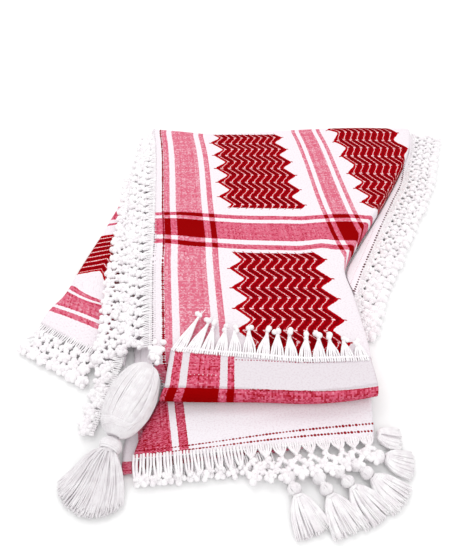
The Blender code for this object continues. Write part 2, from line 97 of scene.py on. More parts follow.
def add_node(tree: bpy.types.NodeTree, kind: str, links: dict | tuple = (), **settings) -> Node:
    """Adds a node, sets it up and links it.

    Args:
        tree: the tree that the node goes into.
        kind: Blender's type name of the node.
        links: what feeds its inputs.
        settings: properties of the node itself.

    Returns:
        The new node.
    """
    node = tree.nodes.new(kind)
    for name, value in settings.items():
        setattr(node, name, value)
    return feed(node, links)


def ease(t: np.ndarray | float) -> np.ndarray | float:
    """Smooth step from 0 to 1."""
    t = np.clip(t, 0.0, 1.0)
    return t * t * (3 - 2 * t)


def mix(a: np.ndarray | float, b: np.ndarray | float, t: np.ndarray | float) -> np.ndarray | float:
    """Value between a and b."""
    return a + (b - a) * t


def unit(v: np.ndarray) -> np.ndarray:
    """The same direction, one long."""
    return v / np.maximum(np.linalg.norm(v, axis=-1, keepdims=True), 1e-9)


@dataclass(frozen=True)
class Track:
    """A smooth curve through a short table, made as the solids' own sections are."""

    keys: tuple[float, ...]
    values: tuple[float, ...]

    @property
    def ends(self) -> tuple[float, float]:
        """The first and the last key."""
        return (self.keys[0], self.keys[-1])

    def at(self, key: np.ndarray | float) -> np.ndarray:
        """Reads the curve.

        Args:
            key: where to read it; outside the table it keeps its end value.

        Returns:
            The value there.
        """
        x, v = np.array(self.keys, float), np.array(self.values, float)
        key = np.clip(np.asarray(key, float), x[0], x[-1])
        i = np.clip(np.searchsorted(x, key, side="right") - 1, 0, len(x) - 2)
        slope = np.empty(len(x))
        slope[1:-1] = (v[2:] - v[:-2]) / (x[2:] - x[:-2])
        slope[0], slope[-1] = (v[1] - v[0]) / (x[1] - x[0]), (v[-1] - v[-2]) / (x[-1] - x[-2])
        span = x[i + 1] - x[i]
        t = (key - x[i]) / span
        h = (2 * t**3 - 3 * t**2 + 1, t**3 - 2 * t**2 + t, 3 * t**2 - 2 * t**3, t**3 - t**2)
        return h[0] * v[i] + h[1] * span * slope[i] + h[2] * v[i + 1] + h[3] * span * slope[i + 1]


def tracks(names: str, *rows: tuple[float, ...]) -> dict[str, Track]:
    """Turns a table's rows into one track a column, by name, along its first column."""
    columns = list(zip(*rows))
    return {name: Track(columns[0], column) for name, column in zip(names.split(), columns)}


def plain_mesh(name: str, points: list | np.ndarray, faces: list, material: Material) -> Piece:
    """Makes an object of flat faces.

    Args:
        name: name of the piece.
        points: points in millimetres.
        faces: the point numbers of each face.
        material: its finish.

    Returns:
        The new object, linked to the scene, at the origin.
    """
    mesh = bpy.data.meshes.new(name)
    mesh.from_pydata((np.asarray(points) * MM).tolist(), [], faces)
    mesh.polygons.foreach_set("use_smooth", np.ones(len(mesh.polygons), bool))
    mesh.materials.append(material)
    mesh.update()
    item = bpy.data.objects.new(name, mesh)
    bpy.context.scene.collection.objects.link(item)
    return item


def grid_normals(grid: np.ndarray) -> np.ndarray:
    """Unit normals of a grid, on the side from which columns turn left to rows."""
    return unit(np.cross(np.gradient(grid, axis=1), np.gradient(grid, axis=0)))


def grid_faces(index: np.ndarray) -> np.ndarray:
    """The four corners of each cell of a grid of point numbers."""
    return np.stack([index[:-1, :-1], index[:-1, 1:], index[1:, 1:], index[1:, :-1]], -1).reshape(-1, 4)


def grid_rim(index: np.ndarray) -> np.ndarray:
    """The point numbers once round a grid's edge."""
    return np.concatenate([index[0, :], index[1:, -1], index[-1, -2::-1], index[-2:0:-1, 0]])


def lay_uv(mesh: bpy.types.Mesh, flat: np.ndarray, spare: int = 0) -> None:
    """Writes the cloth's UV map.

    Args:
        mesh: the piece's mesh.
        flat: each point's place on the flat cloth in millimetres.
        spare: how many corners at the end keep the map that a new layer has.
    """
    corners = np.empty(len(mesh.loops), np.int32)
    mesh.loops.foreach_get("vertex_index", corners)
    layer = mesh.uv_layers.new(name=UV_NAME)
    places = np.empty(2 * len(corners), np.float32)
    layer.data.foreach_get("uv", places)
    last = len(corners) - spare
    places[: 2 * last] = (flat * MM)[corners[:last]].astype(np.float32).ravel()
    layer.data.foreach_set("uv", places)


def cloth_shell(
    name: str, grid: np.ndarray, uv: np.ndarray, material: Material, wall: float = 0.9
) -> Piece:
    """Makes a sheet of even wall whose outer side is a grid of points.

    Args:
        name: name of the piece.
        grid: rows by columns by 3, in millimetres.
        uv: rows by columns by 2, place on the flat cloth in millimetres.
        material: its finish.
        wall: thickness of the sheet in millimetres.

    Returns:
        The sheet as a closed thin shell.
    """
    index = np.arange(grid[..., 0].size).reshape(grid.shape[:2])
    points = np.concatenate([side.reshape(-1, 3) for side in (grid, grid - grid_normals(grid) * wall)])
    outer, rim = grid_faces(index), grid_rim(index)
    after = np.roll(rim, -1)
    sides = np.stack([after, rim, rim + index.size, after + index.size], -1)
    faces = np.concatenate([outer, outer[:, ::-1] + index.size, sides])
    item = plain_mesh(name, points, faces.tolist(), material)
    lay_uv(item.data, np.tile(uv.reshape(-1, 2), (2, 1)))
    return item


# ---------------------------------------------------------------- finishes


@dataclass(frozen=True)
class ClothTree:
    """What draws a cloth's pattern. Places are on the flat cloth, in millimetres."""

    add: Adder
    place: Node
    still: tuple[Source, Source]  # the place across the cloth and along it
    moved: tuple[Source, Source]  # the same, moved a little as the yarns wander


@dataclass(frozen=True)
class Stripe:
    """A coloured stripe between two distances from the cloth's edge, in millimetres."""

    start: float
    end: float


def bands(*edges: tuple[float, float]) -> tuple[Stripe, ...]:
    """Makes a stripe of each pair of edges."""
    return tuple(Stripe(*pair) for pair in edges)


@dataclass(frozen=True)
class Patch:
    """A block of red floats parted by white zigzag threads that run along V.

    Left is where its outermost points start across the cloth, near and far are its ends
    along it, period is one zigzag, phase shifts it and depth is how far it swings.
    A turned patch has U and V the other way round.
    """

    left: float
    columns: float
    near: float
    far: float
    period: float
    phase: float
    pitch: float = 12.1
    depth: float = 16.0
    turned: bool = False
    # Shares of the pitch: half a white thread, where the first one runs, and how far they keep in
    line: float = 0.047
    first: float = 0.55
    keep_in: tuple[float, float] = (0.32, 0.3)
    # On the leaves the white threads run steeper, from the tips to the dips of the zigzag
    steeper: tuple[float, float] = (0.36, -0.30)
    # Short floats join them up there, over these shares of the pitch
    joins: tuple[float, float] = (0.36, 0.7)
    tip: float = 0.06  # how near to a tip or dip counts as there, as a share of the swing
    spike: float = 0.28  # how far a thread end sticks out at each point, as a share of the pitch
    thread_end: float = 2.4  # the same at the straight ends, in millimetres
    beat: float = 2.9  # each float binds under a weft yarn this often
    bound: float = 0.2  # and the white thread is hidden over this share of it

    def lay(self, cloth: ClothTree, colour: Source) -> Source:
        """Lays the block over the ground colour.

        Args:
            cloth: what draws the cloth's pattern.
            colour: what lies under the block.

        Returns:
            The colour with the block on it.
        """
        add = cloth.add
        u, v = cloth.moved[::-1] if self.turned else cloth.moved
        half = self.period / 2
        along = add(MATH, (v, self.phase), operation="SUBTRACT")
        swing = add(MATH, (along, half), operation="PINGPONG")
        tri = add(MATH, (swing, half), operation="DIVIDE")
        turn = add(MATH, (along, self.period), operation="DIVIDE")
        turn = add(MATH, (turn,), operation="FRACT")
        leaf = add(MATH, (turn, 0.5), operation="LESS_THAN")
        # Floats that lean back are leaf-shaped, so their edges run in a soft S
        soft = add(RANGE, (tri, 0.0, 1.0, 0.0, 1.0), interpolation_type="SMOOTHSTEP")
        bent = add(BLEND, {0: leaf, 2: tri, 3: soft})
        offset = add(MATH, (bent, self.depth, self.left), operation="MULTIPLY_ADD")
        from_edge = add(MATH, (u, offset), operation="SUBTRACT")
        phi = add(MATH, (from_edge, self.pitch), operation="DIVIDE")
        # White zigzag threads: on the leaves they run steeper, and short floats join them up
        inset = add(MATH, (phi, self.first), operation="SUBTRACT")
        share = add(MATH, (inset,), operation="FRACT")
        steep = add(RANGE, (tri, 0.0, 1.0, *self.steeper))
        steep = add(MATH, (steep, leaf), operation="MULTIPLY")
        line = add(MATH, (inset, steep), operation="SUBTRACT")
        near_line = add(MATH, (line, 0.5), operation="PINGPONG")
        thin = add(MATH, (near_line, self.line), operation="LESS_THAN")
        at_tip = add(MATH, (tri, self.tip), operation="LESS_THAN")
        at_dip = add(MATH, (tri, 1 - self.tip), operation="GREATER_THAN")
        behind = add(MATH, (share, self.joins[0]), operation="LESS_THAN")
        before = add(MATH, (share, self.joins[1]), operation="GREATER_THAN")
        dash = add(MATH, (at_tip, behind), operation="MULTIPLY")
        dash = add(MATH, (at_dip, before, dash), operation="MULTIPLY_ADD")
        white = add(MATH, (thin, dash), operation="MAXIMUM")
        # Each float binds under a weft yarn every few millimetres, which breaks the white line up,
        # and the lines keep clear of the block's own edges
        beat = add(MATH, (v, self.beat), operation="DIVIDE")
        beat = add(MATH, (beat,), operation="FRACT")
        near_in, far_in = self.keep_in
        for mask in (
            add(MATH, (beat, self.bound), operation="GREATER_THAN"),
            add(MATH, (phi, near_in), operation="GREATER_THAN"),
            add(MATH, (phi, self.columns - far_in), operation="LESS_THAN"),
        ):
            white = add(MATH, (white, mask), operation="MULTIPLY")
        # Block edge, with a thread end that sticks out at each point and at each column's end
        left = add(MATH, (at_tip, -self.spike), operation="MULTIPLY")
        right = add(MATH, (at_dip, self.spike, self.columns), operation="MULTIPLY_ADD")
        ends = add(MATH, (share, 0.86), operation="GREATER_THAN")
        more = add(MATH, (ends, self.thread_end, self.far), operation="MULTIPLY_ADD")
        less = add(MATH, (ends, -self.thread_end, self.near), operation="MULTIPLY_ADD")
        block = add(MATH, (phi, left), operation="GREATER_THAN")
        for mask in (
            add(MATH, (phi, right), operation="LESS_THAN"),
            add(MATH, (v, more), operation="LESS_THAN"),
            add(MATH, (v, less), operation="GREATER_THAN"),
        ):
            block = add(MATH, (block, mask), operation="MULTIPLY")
        # Painted shade: a float is drawn darkest half way between two white threads, where it lies deepest,
        # and lighter by the threads and at the block's edges
        middle = add(RANGE, (near_line, 0.08, 0.36, 1.0, 0.0))
        rim = add(MATH, (phi, self.columns / 2), operation="SUBTRACT")
        rim = add(MATH, (rim,), operation="ABSOLUTE")
        rim = add(MATH, (rim, self.columns / 2 - 0.3), operation="GREATER_THAN")
        middle = add(MATH, (middle, rim), operation="MAXIMUM")
        cloud = add(NOISE, {"Vector": cloth.place, "Scale": 0.35, "Detail": 2.0})
        tone = add(MATH, (middle, 0.55, cloud), operation="MULTIPLY_ADD")
        # Painted sheen: the floats on the leaves, which lean the other way, are drawn a little lighter
        tone = add(MATH, (leaf, 0.12, tone), operation="MULTIPLY_ADD")
        tone = add(RANGE, (tone, 0.42, 1.05, 0.0, 1.0))
        # Red floats, the white threads over them, and the block over the ground
        laid = add(BLEND, {0: tone, 6: linear("#6C0006"), 7: linear("#AC000C")}, data_type="RGBA")
        laid = add(BLEND, {0: white, 6: laid.outputs[2], 7: linear("#F3D6DC")}, data_type="RGBA")
        laid = add(BLEND, {0: block, 6: colour, 7: laid.outputs[2]}, data_type="RGBA")
        return laid.outputs[2]


@dataclass(frozen=True)
class DotRow:
    """A row of tiny drawn-thread holes along V at a distance across the cloth.

    Turned rows run along U instead.
    """

    at: float
    width: float
    pitch: float
    turned: bool = False
    start: float = -1000.0
    end: float = 1000.0
    colour: str = "#8F0A1E"
    smallest: float = 0.38  # half width of a hole, as a share of the width
    largest: float = 0.62

    def lay(self, cloth: ClothTree, colour: Source) -> Source:
        """Draws the row over the ground colour.

        Args:
            cloth: what draws the cloth's pattern.
            colour: what lies under the row.

        Returns:
            The colour with the row on it.
        """
        add = cloth.add
        across, along = cloth.still[::-1] if self.turned else cloth.still
        away = add(MATH, (across, self.at), operation="SUBTRACT")
        away = add(MATH, (away,), operation="ABSOLUTE")
        step = add(MATH, (along, self.pitch), operation="DIVIDE")
        cell = add(MATH, (step,), operation="FLOOR")
        step = add(MATH, (step,), operation="FRACT")
        step = add(MATH, (step, 0.5), operation="SUBTRACT")
        step = add(MATH, (step, self.pitch), operation="MULTIPLY")
        chance = add(CHANCE, {"W": cell}, noise_dimensions="1D")
        size = add(RANGE, (chance, 0.0, 1.0, self.width * self.smallest, self.width * self.largest))
        far = add(MATH, (away, away), operation="MULTIPLY")
        far = add(MATH, (step, step, far), operation="MULTIPLY_ADD")
        far = add(MATH, (far,), operation="SQRT")
        hole = add(MATH, (far, size), operation="LESS_THAN")
        for end, side in ((self.start, "GREATER_THAN"), (self.end, "LESS_THAN")):
            within = add(MATH, (along, end), operation=side)
            hole = add(MATH, (hole, within), operation="MULTIPLY")
        drawn = add(BLEND, {0: hole, 6: colour, 7: linear(self.colour)}, data_type="RGBA")
        return drawn.outputs[2]


def new_surface(name: str) -> tuple[Material, Adder, Node]:
    """Starts a material.

    Args:
        name: its name.

    Returns:
        The material, what adds a node to its tree, and its shader.
    """
    material = bpy.data.materials.new(name)
    material.use_nodes = True
    tree = material.node_tree
    return material, partial(add_node, tree), tree.nodes["Principled BSDF"]


@dataclass(frozen=True)
class WovenCotton:
    """Plain-woven cotton with red yarns among the white ones.

    A red stripe one way over white yarns reads pink, and two that cross read deep red.
    The surface is matt with a faint nap, from soft spun yarns in a loose weave.
    """

    name: str
    ground: str = "#ECE5EA"
    warp: tuple[Stripe, ...] = ()
    weft: tuple[Stripe, ...] = ()
    patches: tuple[Patch, ...] = ()
    dots: tuple[DotRow, ...] = ()
    warp_share: float = 0.44  # of the cloth's face, where the warp is red
    weft_share: float = 0.53  # and where the weft is
    speckle: float = 0.28
    contrast: float = 0.4  # how unevenly the yarns cover each other
    ragged_edge: float | None = None
    thread: float = 1.7  # real threads are 0.45 mm apart; drawn coarser so that the weave shows
    # White yarns, white over red, red over white and red over red, by how much red shows
    reds: tuple[tuple[float, str], ...] = (
        (0.28, "#E6AFBC"), (0.44, "#D37287"), (0.56, "#D5607B"), (0.66, "#B93A52"), (0.80, "#A00F1C")
    )
    deepest: tuple[float, str] = (0.9, "#900002")

    @staticmethod
    def inside(add: Adder, across: Source, stripes: tuple[Stripe, ...]) -> Node:
        """Adds a mask that is one inside the stripes.

        Args:
            add: adds a node to the material's tree.
            across: gives the distance in millimetres.
            stripes: the stripes.

        Returns:
            The node that gives the mask.
        """
        mask = add(MATH, (across, 0.0), operation="MULTIPLY")
        for stripe in stripes:
            middle, half = (stripe.start + stripe.end) / 2, (stripe.end - stripe.start) / 2
            hit = add(MATH, (across, middle, half), operation="COMPARE")
            mask = add(MATH, (mask, hit), operation="MAXIMUM")
        return mask

    def build(self) -> Material:
        """Makes the material.

        Returns:
            The finished material.
        """
        material, add, shader = new_surface(self.name)
        place = add("ShaderNodeUVMap", uv_map=UV_NAME)
        scaled = add(VECTOR, {0: place, "Scale": 1 / MM}, operation="SCALE")
        # Uneven beating-up of the yarns: edges wander by a third of a millimetre
        wander = add(NOISE, {"Vector": scaled, "Scale": 0.45, "Detail": 1.0})
        shift = add(VECTOR, (wander.outputs["Color"], (0.5, 0.5, 0.5)), operation="SUBTRACT")
        moved = add(VECTOR, (shift, (1.5, 1.5, 0.0), scaled), operation="MULTIPLY_ADD")
        split = (add("ShaderNodeSeparateXYZ", (node,)) for node in (scaled, moved))
        cloth = ClothTree(add, scaled, *(tuple(parts.outputs[:2]) for parts in split))
        weave = self.weave(cloth)
        warp, weft = (self.inside(add, *pair) for pair in zip(cloth.moved, (self.warp, self.weft)))
        if self.ragged_edge is not None:
            weft = self.fray(cloth, weft)
        # Red that shows: the warp's share where the warp is red, the weft's where the weft is
        over = add(MATH, (weave, self.warp_share), operation="ADD")
        under = add(MATH, (self.weft_share, weave), operation="SUBTRACT")
        first = add(MATH, (warp, over), operation="MULTIPLY")
        red = add(MATH, (weft, under, first), operation="MULTIPLY_ADD")
        shade = add("ShaderNodeValToRGB", (red,))
        stops = shade.color_ramp.elements
        for stop, (where, code) in zip(stops, ((0.0, self.ground), self.deepest)):
            stop.position, stop.color = where, linear(code)
        for where, code in self.reds:
            stops.new(where).color = linear(code)
        # Faint pink and grey flecks of the yarns behind, as in any loose weave
        fleck = add(NOISE, {"Vector": scaled, "Scale": 0.47, "Detail": 2.0, "Roughness": 0.7})
        share = add(RANGE, (fleck, 0.48, 0.72, 0.0, self.speckle))
        behind = {0: share, 6: shade, 7: linear("#C9A9B4")}
        colour = add(BLEND, behind, data_type="RGBA", blend_type="MULTIPLY").outputs[2]
        for figure in self.patches + self.dots:
            colour = figure.lay(cloth, colour)
        height = add(MATH, (weave, 1.2, fleck), operation="MULTIPLY_ADD")
        bump = add("ShaderNodeBump", {"Height": height, "Strength": 0.35, "Distance": 0.0006})
        feed(shader, {"Base Color": colour, "Normal": bump, "Roughness": 0.9, "Specular IOR Level": 0.02})
        return material

    def weave(self, cloth: ClothTree) -> Node:
        """Adds over-and-under of a plain weave, uneven as hand-spun yarn is.

        Args:
            cloth: what draws the cloth's pattern.

        Returns:
            Node that gives how much more the warp shows than the weft, about zero.
        """
        add = cloth.add
        cells = add(VECTOR, {0: cloth.place, "Scale": 1 / self.thread}, operation="SCALE")
        cells = add(VECTOR, (cells,), operation="FLOOR")
        split = add("ShaderNodeSeparateXYZ", (cells,))
        total = add(CHANCE, {"Vector": cells}, noise_dimensions="2D")
        for axis in (0, 1):
            yarn = add(CHANCE, {"W": split.outputs[axis]}, noise_dimensions="1D")
            total = add(MATH, (yarn, 0.45, total), operation="MULTIPLY_ADD")
        slub = add(NOISE, {"Vector": cloth.place, "Scale": 0.3, "Detail": 1.0})
        total = add(MATH, (slub, 0.9, total), operation="MULTIPLY_ADD")
        return add(RANGE, (total, 0.4, 2.4, -self.contrast, self.contrast))

    def fray(self, cloth: ClothTree, weft: Node) -> Node:
        """Ends the weft stripes in uneven thread ends near the cut edge.

        Args:
            cloth: what draws the cloth's pattern.
            weft: gives the stripes' mask.

        Returns:
            Node that gives the mask with its frayed end.
        """
        add, (across, along) = cloth.add, cloth.still
        lines = add("ShaderNodeCombineXYZ", {1: along})
        jag = add(NOISE, {"Vector": lines, "Scale": 0.55, "Detail": 1.0})
        end = add(RANGE, (jag, 0.3, 0.7, -2.5, 3.5))
        inwards = add(MATH, (across, end), operation="ADD")
        kept = add(MATH, (inwards, self.ragged_edge), operation="GREATER_THAN")
        return add(MATH, (weft, kept), operation="MULTIPLY")


@dataclass(frozen=True)
class CottonYarn:
    """Soft twisted cotton yarn, bleached white, two plies that show as slanting ridges."""

    name: str = "bleached_cotton_yarn"
    light: str = "#FCFAFB"
    deep: str = "#F3EEF1"
    twist: float = 3.2  # mm for one turn of the plies
    plies: int = 2

    def build(self) -> Material:
        """Makes the material.

        Returns:
            The finished material.
        """
        material, add, shader = new_surface(self.name)
        along = add("ShaderNodeAttribute", attribute_name="along").outputs["Fac"]
        around = add("ShaderNodeAttribute", attribute_name="around").outputs["Fac"]
        turns = add(MATH, (along, 1000.0 / self.twist), operation="MULTIPLY")
        phase = add(MATH, (around, turns), operation="ADD")
        phase = add(MATH, (phase, self.plies * FULL_TURN), operation="MULTIPLY")
        ply = add(MATH, (phase,), operation="SINE")
        place = add("ShaderNodeTexCoord").outputs["Object"]
        fuzz = add(NOISE, {"Vector": place, "Scale": 900.0, "Detail": 2.0})
        height = add(MATH, (ply, 0.5, fuzz), operation="MULTIPLY_ADD")
        bump = add("ShaderNodeBump", {"Height": height, "Strength": 0.45, "Distance": 0.0004})
        cloud = add(NOISE, {"Vector": place, "Scale": 120.0, "Detail": 2.0})
        share = add(RANGE, (cloud, 0.35, 0.65, 0.0, 1.0))
        tone = add(BLEND, {0: share, 6: linear(self.light), 7: linear(self.deep)}, data_type="RGBA")
        colour = tone.outputs[2]
        feed(shader, {"Base Color": colour, "Normal": bump, "Roughness": 0.8, "Specular IOR Level": 0.15})
        return material


@dataclass(frozen=True)
class PaintedFloor:
    """Matt white painted board, evenly lit."""

    colour: str = "#F7F7F7"

    def build(self) -> Material:
        """Makes the material.

        Returns:
            The finished material.
        """
        material, add, shader = new_surface("matt_white_floor")
        place = add("ShaderNodeTexCoord").outputs["Object"]
        grain = add(NOISE, {"Vector": place, "Scale": 300.0})
        bump = add("ShaderNodeBump", {"Height": grain, "Strength": 0.02, "Distance": 0.0005})
        paint = linear(self.colour)
        feed(shader, {"Base Color": paint, "Normal": bump, "Roughness": 0.9, "Specular IOR Level": 0.1})
        return material


# ---------------------------------------------------------------- yarn, knots and strands


@dataclass
class YarnWork:
    """Strands and knotted bobbles, gathered as a skeleton that Geometry Nodes flesh out.

    A strand is a chain of points with a thickness. A bobble is a loose point with a size
    and a turn. Jitter moves the strands' points at random by up to that much.
    """

    name: str
    sides: int = 5
    steps: int = 2
    jitter: float = 0.25
    seed: int = 1
    points: list = field(default_factory=list)
    edges: list = field(default_factory=list)
    values: list = field(default_factory=list)

    def strand(self, line: list | np.ndarray, radius: float | list | np.ndarray) -> None:
        """Adds a strand.

        Args:
            line: its points in millimetres.
            radius: its half thickness, one number or one a point.
        """
        start = len(self.points)
        for point, thick in zip(line, np.broadcast_to(radius, (len(line),))):
            self.points.append(tuple(point))
            self.values.append((float(thick), *[0.0] * 6))
        self.edges += [(start + i, start + i + 1) for i in range(len(line) - 1)]

    def bobble(self, centre: np.ndarray, size: Point, turn: Point) -> None:
        """Adds a knotted bobble, by its middle, half its length along its axes and its Euler angles."""
        self.points.append(tuple(centre))
        self.values.append((0.0, *(s * MM for s in size), *turn))

    def pom(
        self, centre: np.ndarray, size: float, petals: int, rng: np.random.Generator, spread: float = 0.95
    ) -> None:
        """Adds a flower-like knot: one bobble with others round it.

        Args:
            centre: its middle in millimetres.
            size: half the width of one bobble.
            petals: how many stand round the middle one.
            rng: seeded source of unevenness.
            spread: how far out they stand, as a part of the size.
        """
        floor = 0.6
        first = rng.uniform(0, FULL_TURN)
        spots = [(0.0, 0.0, 0.35)]
        for k in range(petals):
            turn = first + FULL_TURN * (k + rng.uniform(-0.15, 0.15)) / petals
            spots.append((spread * math.cos(turn), spread * math.sin(turn), rng.uniform(-0.25, 0.25)))
        for offset in spots:
            half = size * rng.uniform(0.82, 1.08) * 0.86
            spot = np.array(centre) + size * np.array(offset)
            spot[2] = max(spot[2], floor + half)
            shape = (half, half * rng.uniform(0.85, 1.0), half * rng.uniform(0.85, 1.0))
            self.bobble(spot, shape, tuple(rng.uniform(-1.5, 1.5, 3)))

    def build(self, material: Material) -> Piece:
        """Turns the skeleton into tubes and bobbles.

        Args:
            material: the yarn's finish.

        Returns:
            One plain mesh of all strands and bobbles.
        """
        mesh = bpy.data.meshes.new(self.name)
        mesh.from_pydata((np.array(self.points) * MM).tolist(), self.edges, [])
        table = np.array(self.values, np.float32)
        mesh.attributes.new("thick", "FLOAT", "POINT").data.foreach_set("value", table[:, 0] * MM)
        for name, first in (("size", 1), ("turn", 4)):
            data = np.ascontiguousarray(table[:, first : first + 3]).ravel()
            mesh.attributes.new(name, "FLOAT_VECTOR", "POINT").data.foreach_set("vector", data)
        skeleton = bpy.data.objects.new(self.name + "_skeleton", mesh)
        bpy.context.scene.collection.objects.link(skeleton)
        modifier = skeleton.modifiers.new("yarn", "NODES")
        modifier.node_group = yarn_tree(material)
        values = {"Sides": self.sides, "Steps": self.steps, "Jitter": self.jitter * MM, "Seed": self.seed}
        for socket in modifier.node_group.interface.items_tree:
            if socket.name in values:
                modifier[socket.identifier] = values[socket.name]
        graph = bpy.context.evaluated_depsgraph_get()
        solid = bpy.data.meshes.new_from_object(skeleton.evaluated_get(graph), depsgraph=graph)
        solid.name = self.name
        bpy.data.objects.remove(skeleton)
        item = bpy.data.objects.new(self.name, solid)
        bpy.context.scene.collection.objects.link(item)
        return item


def yarn_tree(material: Material) -> bpy.types.NodeTree:
    """Builds the tree that makes tubes of a skeleton's chains and bobbles of its loose points.

    Args:
        material: what the yarn is finished with.

    Returns:
        The tree, made once for each material.
    """
    name = "yarn_work_" + material.name
    if name in bpy.data.node_groups:
        return bpy.data.node_groups[name]
    tree = bpy.data.node_groups.new(name, "GeometryNodeTree")
    add = partial(add_node, tree)
    store, read = "GeometryNodeStoreNamedAttribute", "GeometryNodeInputNamedAttribute"
    stored = {"data_type": "FLOAT", "domain": "POINT"}
    for label, way, kind, value in (
        ("Geometry", "INPUT", "Geometry", None),
        ("Sides", "INPUT", "Int", 5),
        ("Steps", "INPUT", "Int", 2),
        ("Jitter", "INPUT", "Float", 0.0002),
        ("Seed", "INPUT", "Int", 1),
        ("Geometry", "OUTPUT", "Geometry", None),
    ):
        socket = tree.interface.new_socket(label, in_out=way, socket_type="NodeSocket" + kind)
        if value is not None:
            socket.default_value = value
    given = add("NodeGroupInput").outputs
    thick = add(read, {"Name": "thick"}, data_type="FLOAT")
    is_strand = add("FunctionNodeCompare", (thick, 1e-6), operation="GREATER_THAN")
    # Strands: chains become smooth curves, moved a little at random, and then tubes
    curve = add("GeometryNodeMeshToCurve", {"Mesh": given["Geometry"]})
    spread = add(VECTOR, {0: (1, 1, 1), "Scale": given["Jitter"]}, operation="SCALE")
    under = add(VECTOR, {0: spread, "Scale": -1.0}, operation="SCALE")
    limits = {"Min": under, "Max": spread, "Seed": given["Seed"]}
    random = add("FunctionNodeRandomValue", limits, data_type="FLOAT_VECTOR")
    shaken = add("GeometryNodeSetPosition", {"Geometry": curve, "Offset": random})
    smooth = add("GeometryNodeCurveSplineType", {"Curve": shaken}, spline_type="CATMULL_ROM")
    finer = add("GeometryNodeSetSplineResolution", {"Geometry": smooth, "Resolution": given["Steps"]})
    length = add("GeometryNodeSplineParameter").outputs["Length"]
    marked = add(store, {"Geometry": finer, "Name": "along", "Value": length}, **stored)
    ring = add("GeometryNodeCurvePrimitiveCircle", {"Resolution": given["Sides"], "Radius": 1.0})
    angle = add(MATH, (add("GeometryNodeInputIndex"), given["Sides"]), operation="DIVIDE")
    profile = add(store, {"Geometry": ring, "Name": "around", "Value": angle}, **stored)
    wound = {"Curve": marked, "Profile Curve": profile, "Scale": thick, "Fill Caps": True}
    tubes = add("GeometryNodeCurveToMesh", wound)
    # Bobbles: small balls of wound yarn, a few dozen faces each
    loose = add("FunctionNodeBooleanMath", (is_strand,), operation="NOT")
    spots = add("GeometryNodeMeshToPoints", {"Mesh": given["Geometry"], "Selection": loose})
    ball = add("GeometryNodeMeshUVSphere", {"Segments": 8, "Rings": 6, "Radius": 1.0})
    x, y, z = add("ShaderNodeSeparateXYZ", (add("GeometryNodeInputPosition"),)).outputs
    turn = add(MATH, (y, x), operation="ARCTAN2")
    turn = add(MATH, (turn, FULL_TURN), operation="DIVIDE")
    rise = add(MATH, (z, 0.0045), operation="MULTIPLY")
    ball = add(store, {"Geometry": ball, "Name": "around", "Value": turn}, **stored)
    ball = add(store, {"Geometry": ball, "Name": "along", "Value": rise}, **stored)
    size, euler = (add(read, {"Name": label}, data_type="FLOAT_VECTOR") for label in ("size", "turn"))
    rotation = add("FunctionNodeEulerToRotation", (euler,))
    set_down = {"Points": spots, "Instance": ball, "Rotation": rotation, "Scale": size}
    balls = add("GeometryNodeInstanceOnPoints", set_down)
    joined = add("GeometryNodeJoinGeometry", (tubes,))
    feed(joined, (balls,))
    real = add("GeometryNodeRealizeInstances", (joined,))
    soft = add("GeometryNodeSetShadeSmooth", (real,))
    done = add("GeometryNodeSetMaterial", {"Geometry": soft, "Material": material})
    add("NodeGroupOutput", (done,))
    return tree


# ---------------------------------------------------------------- cloth pieces


class Side(Enum):
    """Which side of the cloth a piece shows, or white cotton for the yarn."""

    FRONT = "cloth_front"
    REVERSE = "cloth_reverse"
    COTTON = "white_cotton"


@dataclass(frozen=True)
class Crease:
    """A soft trough or ridge along a line of points.

    Half width says how soft it is, and a positive rise makes a ridge.
    """

    line: tuple[tuple[float, float], ...]
    half_width: float
    rise: float

    def at(self, x: np.ndarray, y: np.ndarray) -> np.ndarray:
        """Gives the crease's rise at places of the plan.

        Args:
            x: sideways places in millimetres.
            y: places from near to far.

        Returns:
            The rise at each place; it dies out towards both ends.
        """
        best = np.full(x.shape, np.inf)
        share = np.zeros(x.shape)
        spans = [math.dist(a, b) for a, b in zip(self.line, self.line[1:])]
        total, done = sum(spans), 0.0
        for (ax, ay), (bx, by), span in zip(self.line, self.line[1:], spans):
            t = np.clip(((x - ax) * (bx - ax) + (y - ay) * (by - ay)) / span**2, 0, 1)
            away = np.hypot(x - ax - t * (bx - ax), y - ay - t * (by - ay))
            nearer = away < best
            best = np.where(nearer, away, best)
            share = np.where(nearer, (done + t * span) / total, share)
            done += span
        taper = np.sqrt(np.clip(np.sin(math.pi * (0.02 + 0.96 * share)), 0, 1))
        return self.rise * np.exp(-((best / self.half_width) ** 2)) * taper


def relief(x: np.ndarray, y: np.ndarray, creases: tuple[Crease, ...], swell: float) -> np.ndarray:
    """Height that creases and the slow swell of cloth that was never quite flat add at each place."""
    slow = np.sin(x / 31 + np.sin(y / 47)) * np.sin(y / 39 + 0.7) + 0.5 * np.sin(x / 17 - y / 23)
    return sum((c.at(x, y) for c in creases), swell * slow)


